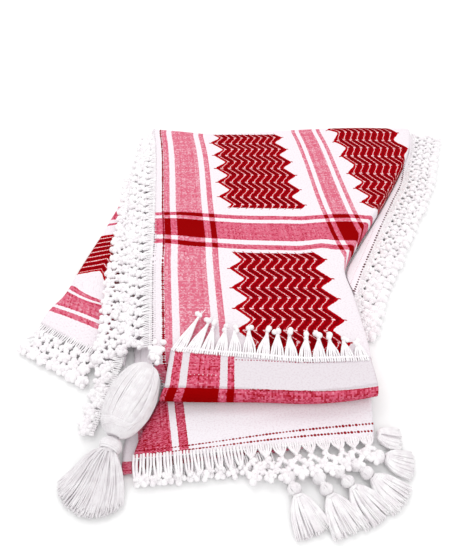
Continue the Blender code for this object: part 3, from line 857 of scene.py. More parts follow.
@dataclass
class FoldedStack:
    """The folded square of cloth: its top panel, the layers under it and the turned-up end."""

    near: float = -187.0
    far: float = 310.0  # where the far fold starts
    wall: float = 1.6
    gap: float = 0.4  # between two layers
    hem_sag: float = 3.0
    side_round: float = 8.0  # how far the side fold reaches past the panel's outline
    far_round: float = 16.0  # and the far fold
    fold_low: float = 10.0  # how high the panel's folds end
    dip_length: float = 130.0  # how far in from the far fold its dips die out
    spread: float = 8.0  # how far the turned-up end leans out at its left corner
    rows: int = 124
    columns: int = 84
    turns: int = 9
    # The layers under the panel: how many there are, the rows, columns and fold steps of their
    # upper side, where it starts, the steps down their edges, and how the cloth lies on those
    layers: int = 6
    coarse: tuple[int, int, int] = (60, 40, 4)
    layers_near: float = -177.0
    steps_down: int = 30
    step_length: float = 3.0
    pattern_shift: float = 41.0  # how far the pattern moves on from one layer to the next
    panel: dict = field(
        default_factory=lambda: tracks(
            "y left right crown",
            (-187, -138, 84, 18),
            (-177, -140, 85, 21),
            (-162, -149, 86, 26),
            (-140, -152, 86, 29.4),
            (-105, -155, 84, 30),
            (-60, -159, 80, 30),
            (-12, -163, 76, 29.6),
            (45, -166, 104, 28.4),
            (120, -171, 148, 27),
            (222, -179, 201, 25),
            (270, -184, 220, 23.5),
            (310, -190, 229, 22),
        )
    )
    # How far the far fold dips towards the viewer, from left to right
    dips: Track = Track((-190, -145, -100, -60, 5, 55, 123, 240), (0, 10, 18, 16.5, 11, 6, 0.5, 0))
    turn: dict = field(
        default_factory=lambda: tracks(
            "x root face radius low",
            (-128, -142, -194, 10.6, 14.0),
            (-96, -146, -195, 11.0, 14.0),
            (-40, -151, -196, 10.4, 14.2),
            (15, -156, -198, 10.0, 14.6),
            (60, -155, -196, 9.0, 16.0),
            (91, -153, -192, 8.0, 18.0),
        )
    )
    # How far the folded edges come out from the panel's outline, by their share of the height
    lips: dict = field(
        default_factory=lambda: tracks(
            "level left right",
            (0.0, 12, -6),
            (0.05, 17, -2.5),
            (0.13, 19.5, -1.5),
            (0.22, 18, -3.5),
            (0.27, 9, -7),
            (0.36, 11, -6),
            (0.50, 9, -7),
            (0.58, 3, -8),
            (0.80, 2.5, -4.5),
            (1.0, 0, 0),
        )
    )
    # The weft runs in slow waves; these are its two edges along the cross band
    wave_up: Track = Track(
        (-156.5, -123, -84, -49, -20.5, 12, 36, 60, 85, 108, 127),
        (13.9, 9.8, 5.3, 1.9, 0, -0.4, -0.8, 2, 4.3, 5, 3),
    )
    wave_low: Track = Track(
        (-152, -120, -81, -50, -23, 8, 24.5, 43, 58, 76, 94),
        (15.3, 8, 4.3, 1.3, 0, -1.5, -2.3, 0.4, 3, 0.9, 1.7),
    )
    stretch: Track = Track((-200, -20, 42, 105, 212, 310), (1, 1, 1.07, 1.12, 1.148, 1.157))
    bend: float = 96.5  # how far in from the hem the warp starts to spread
    creases: tuple[Crease, ...] = (
        Crease(((-160, 40), (-120, 66), (-70, 58), (-20, 72)), 9, -0.9),
        Crease(((-40, 88), (20, 78), (70, 92), (120, 84)), 7, 0.8),
        Crease(((-140, 120), (-95, 108), (-60, 118)), 8, 0.7),
        Crease(((30, 20), (62, 48), (96, 60)), 8, -1.0),
        Crease(((-150, -30), (-110, -18), (-60, -26)), 9, 0.6),
        Crease(((-148, -112), (-128, -60), (-131, -10)), 7, -0.6),
        Crease(((120, 150), (150, 210), (160, 270)), 10, 0.8),
        Crease(((-150, 300), (-60, 286), (30, 300), (110, 292)), 10, -0.8),
        Crease(((190, 250), (214, 282), (222, 306)), 7, -1.2),
        Crease(((-10, -150), (20, -128), (70, -134)), 8, 0.5),
    )
    cuff_columns: int = 90
    # Where the red roll starts, counted over the turned-up end from the top of its curve
    cuff_line: Track = Track((-128, -90, -45, -10, 30, 60, 91), (1.0, 0.5, 1.5, 3.5, 1.5, 0.0, -1.0))
    cuff_creases: tuple[Crease, ...] = (
        Crease(((-120, -26), (-40, -22), (60, -24)), 3, -0.6),
        Crease(((-100, -36), (-50, -30), (-10, -33)), 5, 0.5),
        Crease(((10, -14), (50, -10), (85, -13)), 5, 0.5),
        Crease(((-118, -9), (-60, -10), (-20, -8)), 2.5, -0.4),
        Crease(((-110, 16), (-20, 19), (70, 15)), 4, -0.7),
        Crease(((-30, 9), (20, 11), (80, 8)), 3, 0.6),
    )

    def height(self, x: np.ndarray, y: np.ndarray) -> np.ndarray:
        """Gives the top panel's height before its folded edges round over.

        Args:
            x: sideways places in millimetres.
            y: places from near to far.

        Returns:
            The height at each place.
        """
        left, right = self.panel["left"].at(y), self.panel["right"].at(y)
        u = np.clip((x - left) / (right - left), 0, 1)
        sag = self.hem_sag * (1 - ease(u / 0.16)) * ease((y + 200) / 60)
        return self.panel["crown"].at(y) - sag - 1.2 * ease((u - 0.8) / 0.2)

    def top(self, inset: float, rows: int, columns: int, turns: int) -> tuple[np.ndarray, np.ndarray]:
        """Makes the grid of the top panel's outer side.

        Args:
            inset: how far it lies inside the real one.
            rows: rows from the near end to where the far fold starts.
            columns: columns from the hem to where the side fold starts.
            turns: further rows and columns round the folds.

        Returns:
            The points, and the place of each on the flat cloth.
        """
        quarter = np.linspace(0, math.pi / 2, turns + 1)[1:]
        levels = np.concatenate([np.linspace(self.near, self.far, rows), np.full(turns, self.far)])
        far_turn = np.concatenate([np.zeros(rows), quarter])[:, None]
        across = np.concatenate([np.linspace(0, 1, columns), np.ones(turns)])[None, :]
        side_turn = np.concatenate([np.zeros(columns), quarter])[None, :]
        y = np.repeat(levels[:, None], columns + turns, 1)
        left, right = self.panel["left"].at(y), self.panel["right"].at(y)
        x = mix(left, right, across)
        top = self.height(x, y)
        dip = self.dips.at(x) * ease((y - self.far + self.dip_length) / self.dip_length)
        fold = 1 - np.cos(far_turn) * np.cos(side_turn) ** 0.55
        top_z = top - inset - (top - self.fold_low) * fold + inset * fold
        at_x = x + (self.side_round - 1.3 * inset) * np.sin(side_turn) ** 0.6
        at_y = y - dip + (self.far_round - inset) * np.sin(far_turn)
        if inset == 0:
            top_z = top_z + relief(at_x, at_y, self.creases, 0.35) * (1 - fold) * ease((y - self.near) / 30)
        # Across the cloth: a slight bulge near the hem, and the warp spreads to the far side
        u = x - left
        u = u + 2.8 * ease((y - 30) / 90) * (1 - ease((u - 86) / 45))
        u = np.where(u > self.bend, self.bend + (u - self.bend) * self.stretch.at(y), u) + 15 * side_turn
        # Along it: the weft waves in the cross band and lags behind at the far right
        wave = mix(self.wave_low.at(x), self.wave_up.at(x), ease((y - 25) / 50))
        wave = wave * ease((y + 15) / 30) * (1 - ease((y - 85) / 50))
        lag = 0.3 * np.maximum(y - 170, 0) * ease((x - 60) / 60)
        v = np.where(y < 0, 1.1 * y, y) - wave - dip - lag + 18 * far_turn
        return np.stack([at_x, at_y, top_z], -1), np.stack([u, v], -1)

    def build_top(self, material: Material) -> Piece:
        """Makes the top panel."""
        grid, uv = self.top(0.0, self.rows, self.columns, self.turns)
        return cloth_shell("top_panel_cloth", grid, uv, material, wall=1.2)

    def build_layers(self, material: Material) -> Piece:
        """Makes the layers under the top panel, as one closed form with rounded lips.

        Args:
            material: the cloth's finish.

        Returns:
            The piece.
        """
        grid, _ = self.top(self.wall + self.gap, *self.coarse)
        grid = grid[grid[:, 0, 1] > self.layers_near]
        index = np.arange(grid[..., 0].size).reshape(grid.shape[:2])
        upper = grid_rim(index)
        count = len(upper)
        line = grid.reshape(-1, 3)[upper]
        before, after = np.roll(line, 1, axis=0), np.roll(line, -1, axis=0)
        steps = [np.linalg.norm((line - beside)[:, :2], axis=1) for beside in (before, after)]
        room, along = np.minimum(*steps), np.cumsum(steps[0])
        out = unit(np.stack([after[:, 1] - before[:, 1], before[:, 0] - after[:, 0]], -1))
        lefthand = ease(-out[:, 0] * 1.4)
        right, left = self.lips["right"], self.lips["left"]
        per_layer = self.steps_down // self.layers
        near = np.where(out[:, 1] > -0.7, 1.0, 0.25)
        low = np.where(lefthand < 0.5, np.minimum(line[:, 2], self.fold_low - 0.6), line[:, 2])
        points, uv, faces = [grid.reshape(-1, 3)], [np.zeros((index.size, 2))], [grid_faces(index)]
        for k, level in enumerate(np.linspace(1, 0, self.steps_down + 1)[1:]):
            slack = 0.8 * np.sin(along / 37 + 5 * level) + 0.5 * np.sin(along / 13 + 11 * level)
            leaf = abs(math.sin(math.pi * self.layers * level)) ** 0.6 * 1.5 - 0.9
            reach = mix(right.at(level), left.at(level), lefthand) + leaf + slack * 0.5
            reach = np.maximum(reach * near, -0.4 * room)
            edge, high = line[:, :2] + out * reach[:, None], np.maximum(low * level, 0.0)
            lower = count * k + index.size + np.arange(count)
            points.append(np.column_stack([edge, high]))
            shift = self.pattern_shift * (k // per_layer)
            uv.append(np.column_stack([along + shift, np.full(count, self.step_length * k)]))
            faces.append(np.stack([np.roll(upper, -1), upper, lower, np.roll(lower, -1)], -1))
            upper = lower
        underside = upper[::-1].tolist()
        corners = np.concatenate(faces).tolist() + [underside]
        item = plain_mesh("folded_layers", np.concatenate(points), corners, material)
        lay_uv(item.data, np.concatenate(uv), spare=count)
        return item

    def build_cuff(self, material: Material) -> Piece:
        """Makes the end of the cloth that turns up over itself, and the roll where it turns.

        Args:
            material: the cloth's finish.

        Returns:
            The piece.
        """
        x = np.linspace(*self.turn["root"].ends, self.cuff_columns)
        root, face, radius, low = (self.turn[n].at(x) for n in ("root", "face", "radius", "low"))
        side = self.spread * (1 - ease((x - x[0]) / 90))
        rest = self.height(x, root) + self.gap + self.wall
        top = low + 2 * radius
        section = []
        flat = 1 - (1 - np.linspace(0, 1, 26)) ** 1.6
        for t in flat[:-1]:
            lift = mix(rest, top, ease(t)) + 0.8 * math.sin(math.pi * t)
            section.append((x - side * 0.3 * t, mix(root, face, t), lift))
        for t in np.linspace(0, 1, 34) ** 1.25:
            turn = math.pi / 2 + t * math.pi
            aside = 0.3 + 0.7 * min(1, t * 7 / 3)
            lift = low + radius + radius * math.sin(turn)
            section.append((x - side * aside, face + radius * math.cos(turn), lift))
        section.append((x - side, face + 6.0, low))
        grid = np.stack([np.stack(line, -1) for line in section], 1)
        step = np.linalg.norm(np.diff(grid, axis=1), axis=-1)
        v = np.concatenate([np.zeros((len(x), 1)), np.cumsum(step, axis=1)], 1)
        v = v - v[:, len(flat) - 1 : len(flat)]
        across = np.repeat(x[:, None], v.shape[1], 1)
        rise = relief(across, v, self.cuff_creases, 0.25) * ease((v - v[:, :1]) / 6)
        # The pale flap ends in a crisp fold that stands a little proud of the roll
        past = v - self.cuff_line.at(across)
        rise = rise + 0.9 * ease((past + 7) / 6) * (past < 0) - 1.3 * np.exp(-(((past - 0.9) / 1.1) ** 2))
        grid = grid + grid_normals(grid) * rise[..., None]
        return cloth_shell("cuff_cloth", grid, np.stack([across, v], -1), material)


@dataclass
class LooseFlap:
    """A flap that lies under the stack and comes out towards its cut edge."""

    name: str
    sections: tuple[tuple[float, ...], ...]  # from under the stack out: left y and x, right y and x, height
    wave: float
    creases: tuple[Crease, ...]
    slant: float = 0.16
    rows: int = 26
    columns: int = 72
    # The middle between two drawn-thread rows, and how they spread out; V is counted from it
    dots: Track = Track((-168, -130, -20, 90), (-256, -252.4, -237, -226))
    fan: Track = Track((-168, -20, 90), (0.4, 0.77, 1.0))

    def build(self, material: Material) -> Piece:
        """Makes the flap.

        Args:
            material: the cloth's finish.

        Returns:
            The piece.
        """
        last = len(self.sections) - 1
        rows = ((k, *row) for k, row in enumerate(self.sections))
        table = tracks("key left_y left right_y right height", *rows)
        key = np.linspace(last, 0, self.rows)[:, None]
        t = np.linspace(0, 1, self.columns)[None, :]
        x = mix(table["left"].at(key), table["right"].at(key), t)
        y = mix(table["left_y"].at(key), table["right_y"].at(key), t)
        z = table["height"].at(key) + self.wave * np.sin(9 * t + 0.8) * (key / last)
        grid = np.stack([x, y, z + relief(x, y, self.creases, 0.15)], -1)
        uv = np.stack([x + self.slant * (y + 230), (y - self.dots.at(x)) / self.fan.at(x)], -1)
        return cloth_shell(self.name, grid, uv, material)


@dataclass
class LeftWing:
    """Doubled cloth that shows to the left of the stack: out, over a fold, and back under."""

    floor_gap: float = 0.8
    skew: float = 62.0
    rows: int = 90
    table: dict = field(
        default_factory=lambda: tracks(
            "y fold inner crown",
            (-150, -290, -181, 8.0),
            (-108, -281, -180.5, 8.0),
            (-70, -274, -180, 8.0),
            (-5, -260.5, -186, 8.0),
            (78, -238, -192, 7.8),
            (160, -219, -197, 7.6),
            (215, -211, -202.5, 7.4),
        )
    )
    ridge: float = 28.0  # how far in from the fold the patch's zigzag turns
    # How the weft slopes from the fold towards the stack
    slope: Track = Track(
        (-120, -90, -66, -35, -20, 5, 65, 100, 131, 200),
        (-0.5, -0.45, -0.42, -0.5, 0.1, 0.3, 0.29, 0.15, 0.12, 0.1),
    )
    creases: tuple[Crease, ...] = (
        Crease(((-262, -40), (-238, -52), (-218, -70)), 6, -0.5),
        Crease(((-270, -62), (-245, -70), (-222, -90)), 5, 0.5),
        Crease(((-246, 20), (-232, 0), (-226, -24)), 5, -0.5),
        Crease(((-236, 70), (-222, 90), (-214, 130)), 4, 0.4),
    )

    def build(self, material: Material) -> Piece:
        """Makes the wing.

        Args:
            material: the cloth's finish.

        Returns:
            The piece.
        """
        key = np.linspace(*self.table["fold"].ends, self.rows)[:, None]
        fold, inner, height = (self.table[n].at(key) for n in ("fold", "inner", "crown"))
        radius = (height - self.floor_gap) / 2
        front = 1 - ease(np.linspace(0, 1, self.rows)[:, None] / 0.35)
        under, over = np.linspace(0.85, 0.12, 16), np.linspace(0, 1, 34)[1:]
        turns = np.linspace(-math.pi / 2, -1.5 * math.pi, 11)
        columns = [(mix(fold, inner, t), self.floor_gap + 0 * fold) for t in under]
        columns += [
            (fold + radius + radius * math.cos(turn), self.floor_gap + radius + radius * math.sin(turn))
            for turn in turns
        ]
        columns += [(mix(fold + radius, inner, t), height - 0.8 * t) for t in over]
        x, z = (np.concatenate(side, 1) for side in zip(*columns))
        y = key + self.skew * (inner - x) / (inner - fold) * front
        upper = np.arange(x.shape[1])[None, :] >= len(under) + len(turns)
        z = z + relief(x, y, self.creases, 0.15) * upper
        inwards = x - fold
        chevron = np.maximum(inwards - self.ridge, 0) * 1.35
        chevron = chevron * ease((y + 34) / 20) * (1 - ease((y - 60) / 30))
        v = y - self.slope.at(y) * inwards + chevron
        return cloth_shell("left_wing_cloth", np.stack([x, y, z], -1), np.stack([x, v], -1), material)


@dataclass
class RightWing:
    """The pale reverse of the layer below, out past the diagonal fold."""

    rows: int = 100
    columns: int = 14
    droop: float = 2.2  # how much lower its outer edge lies
    slant: float = 5.0  # how much nearer
    table: dict = field(
        default_factory=lambda: tracks(
            "y left right crown",
            (-40, 94, 100, 6.2),
            (-6, 89, 113, 7.0),
            (39, 111, 134, 7.6),
            (88, 139, 157, 8.0),
            (141, 168, 183, 8.2),
            (187, 192, 206, 8.2),
            (231, 213, 220, 8.0),
            (272, 229.5, 234, 7.6),
            (316, 238, 246, 7.0),
        )
    )
    creases: tuple[Crease, ...] = (
        Crease(((96, -10), (118, 30), (150, 90)), 5, -0.4),
        Crease(((150, 110), (178, 160), (196, 200)), 5, 0.4),
    )

    def edge(self, y: float) -> Point:
        """The point of the outer edge whose section lies at y."""
        right, crown = (float(self.table[name].at(y)) for name in ("right", "crown"))
        return (right, y - self.slant, crown - self.droop)

    def build(self, material: Material) -> Piece:
        """Makes the wing.

        Args:
            material: the cloth's finish.

        Returns:
            The piece.
        """
        y = np.linspace(*self.table["left"].ends, self.rows)[:, None]
        t = np.linspace(0, 1, self.columns)[None, :]
        left, right, height = (self.table[n].at(y) for n in ("left", "right", "crown"))
        x = mix(left, right, t)
        y = y + 0 * x
        z = height - self.droop * t + relief(x, y, self.creases, 0.12)
        grid = np.stack([x, y - self.slant * t, z], -1)
        return cloth_shell("right_wing_cloth", grid, np.stack([x - right, y], -1), material)


# ---------------------------------------------------------------- fringes


@dataclass(frozen=True)
class KnotRow:
    """A row of knots in a fringe: how far out it is, as a part of the lock's length."""

    reach: float
    size: float
    petals: int = 3
    spread: float = 0.95


@dataclass
class KnottedFringe:
    """Yarn ends along a cut edge, gathered in bundles and tied in one or more rows of knots.

    Locks go out to the right of the path. At parts of the way along it, they say how long
    they are, how high their tips lie and how far they lean.
    """

    name: str
    path: tuple[Point, ...]
    locks: tuple[tuple[float, ...], ...]
    rows: tuple[KnotRow, ...]
    pitch: float = 12.0  # from one bundle to the next
    strands: int = 4  # in each bundle
    gather: float = 0.0  # where a bundle is first drawn together, as a part of the lock
    bite: float = 2.0  # how far into the cloth it starts
    radius: float = 1.1
    lift: float = 0.7  # how high it comes out of the edge
    tails: int = 0  # loose ends past each last knot
    wander: float = 0.6  # how far a first knot may be off its middle
    foot: float = 0.75  # radius of the yarn that runs along the edge
    seed: int = 1

    def __post_init__(self) -> None:
        """Works out how far along each corner is and which way the path runs there."""
        self.corners = np.array(self.path, float)
        steps = np.linalg.norm(np.diff(self.corners, axis=0), axis=1)
        self.lengths = np.concatenate([[0], np.cumsum(steps)])
        slopes = np.diff(self.corners[:, :2], axis=0) / steps[:, None]
        self.ahead = np.concatenate([slopes[:1], (slopes[:-1] + slopes[1:]) / 2, slopes[-1:]])
        self.lock = tracks("part length tip lean", *self.locks)

    def spot(self, along: float, reach: float, rise: float = 0.0) -> np.ndarray:
        """Finds a place on the fringe.

        Args:
            along: distance along the edge.
            reach: how far out, as a part of the lock's length there; negative is inside the edge.
            rise: extra height.

        Returns:
            The place.
        """
        within = np.clip(along, 0, self.lengths[-1])
        part = within / self.lengths[-1]
        length, tip, lean = (float(self.lock[name].at(part)) for name in ("length", "tip", "lean"))
        near = np.array([np.interp(along, self.lengths, self.corners[:, c]) for c in range(3)])
        ahead = unit(np.array([np.interp(within, self.lengths, self.ahead[:, c]) for c in range(2)]))
        heading = unit(np.array((ahead[1], -ahead[0])) + ahead * lean)
        far = length * reach if reach > 0 else reach
        level = mix(near[2], tip, float(ease(max(reach, 0) * 1.15)))
        return np.array((*(near[:2] + heading * far + ahead * (along - within)), level + rise))

    def build(self, material: Material) -> Piece:
        """Makes the fringe.

        Args:
            material: the yarn's finish.

        Returns:
            The piece.
        """
        rng = np.random.default_rng(self.seed)
        work = YarnWork(self.name, seed=self.seed)
        length = self.lengths[-1]
        units = max(2, round(length / self.pitch))
        pitch = length / units
        edge = [self.spot(s, 0.001, 0.2) for s in np.linspace(0, length, max(8, round(length / 5)))]
        work.strand(edge, self.foot)
        shift = rng.uniform(-self.wander, self.wander, units)
        for k in range(units):
            self.hang(work, rng, k, pitch, shift[k])
        for j, row in enumerate(self.rows):
            odd = j % 2
            for k in range(units - odd):
                along = (k + 0.5 + 0.5 * odd) * pitch + (0 if j else shift[k])
                wobble = rng.uniform(-0.6, 0.6)
                centre = self.spot(along + wobble, row.reach * rng.uniform(0.97, 1.03), rng.uniform(0, 0.8))
                work.pom(centre, row.size * rng.uniform(0.92, 1.08), row.petals, rng, row.spread)
                if j + 1 < len(self.rows):
                    self.cross(work, along, row.reach, self.rows[j + 1].reach, pitch)
                else:
                    self.trail(work, rng, along, row.reach)
        return work.build(material)

    def hang(self, work: YarnWork, rng: np.random.Generator, k: int, pitch: float, shift: float) -> None:
        """Lays one bundle of strands from the cloth to its first knot.

        Args:
            work: what the strands go into.
            rng: seeded source of unevenness.
            k: the bundle's number.
            pitch: from one bundle to the next.
            shift: how far its knot is off its middle.
        """
        first = self.rows[0].reach
        middle_of = (k + 0.5) * pitch + shift
        for i in range(self.strands):
            root = (k + (i + 0.5) / self.strands) * pitch + rng.uniform(-0.3, 0.3)
            gathered = mix(root, middle_of, 0.82)
            if self.gather > 0:
                middle, end, start = mix(root, gathered, 0.25), gathered, self.gather
            else:
                middle, end, start = root, mix(root, gathered, 0.3), first * 0.8
            line = [
                self.spot(root, -self.bite - rng.uniform(0, 0.8), 0.3),
                self.spot(root, -0.3, self.lift),
                self.spot(middle, start * 0.45, self.lift * 0.8 + rng.uniform(-0.3, 0.5)),
                self.spot(end, start, self.lift * 0.5 + rng.uniform(-0.2, 0.2)),
                self.spot(mix(end, middle_of, 0.5), first, 0.3),
            ]
            work.strand(line, self.radius * rng.uniform(0.85, 1.12))
        if 0 < self.gather < first * 0.9:
            knot = self.spot(middle_of, self.gather, 0.6)
            work.bobble(knot, (2.1, 2.6, 1.9), (0, 0, rng.uniform(-0.5, 0.5)))

    def cross(self, work: YarnWork, along: float, reach: float, beyond: float, pitch: float) -> None:
        """Lays the two cords from a knot to its neighbours in the next row.

        Args:
            work: what the cords go into.
            along: distance of the knot along the edge.
            reach: how far out it is.
            beyond: how far out the next row is.
            pitch: from one bundle to the next.
        """
        for target in (along - 0.5 * pitch, along + 0.5 * pitch):
            if 0 < target < self.lengths[-1]:
                line = [
                    self.spot(mix(along, target, t), mix(reach, beyond, t), 0.6 + 0.8 * t * (1 - t))
                    for t in (0, 0.33, 0.66, 1)
                ]
                work.strand(line, 1.9)

    def trail(self, work: YarnWork, rng: np.random.Generator, along: float, reach: float) -> None:
        """Lays the loose ends past a knot.

        Args:
            work: what they go into.
            rng: seeded source of unevenness.
            along: distance of the knot along the edge.
            reach: how far out it is.
        """
        for i in range(self.tails):
            aside = (i - (self.tails - 1) / 2) * 1.5
            tip = self.spot(along + aside * 1.6, reach + 0.16 * rng.uniform(0.8, 1.4), 0)
            work.strand([self.spot(along + aside * 0.5, reach, 0.4), tip], [0.8, 0.35])


# ---------------------------------------------------------------- tassels


def frame_at(heading: np.ndarray) -> tuple[np.ndarray, np.ndarray]:
    """Sideways and upward directions round a heading."""
    side = unit(np.cross((0, 0, 1), heading))
    return side, unit(np.cross(heading, side))


def spoke(side: np.ndarray, up: np.ndarray, angle: float) -> np.ndarray:
    """The direction at an angle round a heading, from sideways to upwards."""
    return side * math.cos(angle) + up * math.sin(angle)


@dataclass
class BigTassel:
    """Pear-shaped head of wound yarn, a wrapped neck and a skirt of loose yarn."""

    head_top: Point = (-150.0, -168.0, 33.0)
    head_low: Point = (-178.5, -246.0, 25.0)
    half_width: float = 25.4
    half_height: float = 24.6
    neck_level: float = 17.0
    neck_length: float = 11.0
    neck_turns: int = 6
    skirt_reach: float = 63.0
    skirt_spread: float = 35.0
    meridians: int = 104
    skirt_strands: int = 430
    cord_yarns: int = 5
    seed: int = 5

    def __post_init__(self) -> None:
        """Works out the head's own directions and the level one that the skirt follows."""
        self.top, self.low = np.array(self.head_top), np.array(self.head_low)
        self.heading = unit(self.low - self.top)
        self.length = float(np.linalg.norm(self.low - self.top))
        self.level = unit(np.array((self.heading[0], self.heading[1], 0.0)))
        self.start = self.low + self.level * 1.6
        self.start[2] = self.neck_level

    def build(self, material: Material) -> list[Piece]:
        """Makes the head, the neck and the skirt.

        Args:
            material: the yarn's finish.

        Returns:
            The three pieces.
        """
        rng = np.random.default_rng(self.seed)
        works = (self.wind_head(rng), self.wrap_neck(), self.hang_skirt(rng))
        return [work.build(material) for work in works]

    def on_head(self, turn: float, around: float, out: float) -> np.ndarray:
        """Finds a place on the head.

        Args:
            turn: angle from its upper end to its lower one, up to half a turn.
            around: angle round it.
            out: how far outside the head's own surface.

        Returns:
            The place.
        """
        side, up = frame_at(self.heading)
        girth = math.sin(turn) ** 0.85
        return (
            self.top + self.heading * self.length * ((1 - math.cos(turn)) / 2)
            + side * (self.half_width + out) * girth * math.cos(around)
            + up * (self.half_height + out) * girth * math.sin(around)
        )

    def wind_head(self, rng: np.random.Generator) -> YarnWork:
        """Winds the head: its yarns, a core just inside them, and the cord round it.

        Args:
            rng: seeded source of unevenness.

        Returns:
            The work, not yet built.
        """
        head = YarnWork("tassel_head_yarn", sides=5, steps=2, jitter=0.12, seed=self.seed)
        points = 13
        for k in range(self.meridians):
            around = FULL_TURN * (k + rng.uniform(-0.3, 0.3)) / self.meridians
            bow = rng.uniform(-0.025, 0.025)
            line = [
                self.on_head(turn, around + bow * math.sin(turn) + 0.35 * ((1 - math.cos(turn)) / 2), -1.1)
                for turn in np.linspace(0.05, 0.93, points) * math.pi
            ]
            thick = 1.05 * rng.uniform(0.75, 1.3)
            waist = [math.sin(math.pi * (i + 0.5) / points) for i in range(points)]
            head.strand(line, [thick * (0.6 + 0.4 * full) for full in waist])
        core = np.linspace(0.08, 0.92, 11) * math.pi
        spine = [self.top + self.heading * self.length * (1 - math.cos(turn)) / 2 for turn in core]
        head.strand(spine, [(self.half_height - 1.7) * math.sin(turn) ** 0.85 for turn in core])
        for yarn in range(self.cord_yarns):
            line = []
            for t in np.linspace(0, 1, 26):
                around = mix(0.42, 2.9, float(ease((t - 0.45) / 0.55))) + 0.075 * yarn * (1 - t)
                low = 0.1 + 0.76 * float(ease(t / 0.62)) + 0.02 * yarn * t
                line.append(self.on_head(math.acos(1 - 2 * low), around, 0.3))
            head.strand(line, 1.0)
        return head

    def wrap_neck(self) -> YarnWork:
        """Wraps the neck below the head.

        Returns:
            The work, not yet built.
        """
        side, up = frame_at(self.level)
        neck = YarnWork("tassel_neck_yarn", sides=6, steps=3, jitter=0.05, seed=self.seed)
        steps = self.neck_turns * 10
        line = []
        for k in range(steps + 1):
            girth = 8.0 + 2.6 * math.sin(math.pi * (k / steps))
            reach = self.level * (self.neck_length * (k / steps))
            line.append(self.start + reach + girth * spoke(side, up, FULL_TURN * k / 10))
        neck.strand(line, 1.35)
        spine = [self.start + self.level * t for t in (-3, 3, 8, self.neck_length + 2)]
        neck.strand(spine, [6.5, 8.0, 8.0, 7.0])
        return neck

    def hang_skirt(self, rng: np.random.Generator) -> YarnWork:
        """Hangs the skirt's loose yarn from the neck.

        Args:
            rng: seeded source of unevenness.

        Returns:
            The work, not yet built.
        """
        side, up = frame_at(self.level)
        skirt = YarnWork("tassel_skirt_yarn", sides=4, steps=2, jitter=0.3, seed=self.seed)
        root = self.start + self.level * (self.neck_length - 0.5)
        for _ in range(self.skirt_strands):
            across = rng.uniform(-1, 1)
            deep = rng.uniform(-1, 1) ** 3 * 0.4 + 0.6 * rng.uniform(-1, 1)
            deep *= math.sqrt(1 - 0.75 * across * across)
            ray = spoke(self.level, side, math.radians(self.skirt_spread) * across)
            far = self.skirt_reach * (1 - 0.22 * across * across) * rng.uniform(0.88, 1.0)
            begin = root + side * 7.0 * across + up * 6.2 * deep
            line = []
            for t in (0.0, 0.12, 0.3, 0.5, 0.75, 1.0):
                belly = side * 9.0 * across * math.sin(math.pi * min(1, t * 1.4) / 2) * (1 - t)
                spot = begin + ray * far * t + belly
                high = begin[2] + 2.0 * math.sin(math.pi * min(1.0, t * 2.2))
                spot[2] = mix(high, 5.6 + 3.6 * deep, float(ease(t * 1.25)))
                spot += side * rng.uniform(-0.8, 0.8) * t
                spot[2] = max(spot[2], 1.6)
                line.append(spot)
            skirt.strand(line, [0.95, 1.0, 0.95, 0.95, 0.9, 0.6])
        return skirt


@dataclass(frozen=True)
class TasselPlace:
    """Where a small tassel starts, which way it lies, how long its skirt is and its beads."""

    x: float
    y: float
    turn: float
    skirt: float
    beads: int


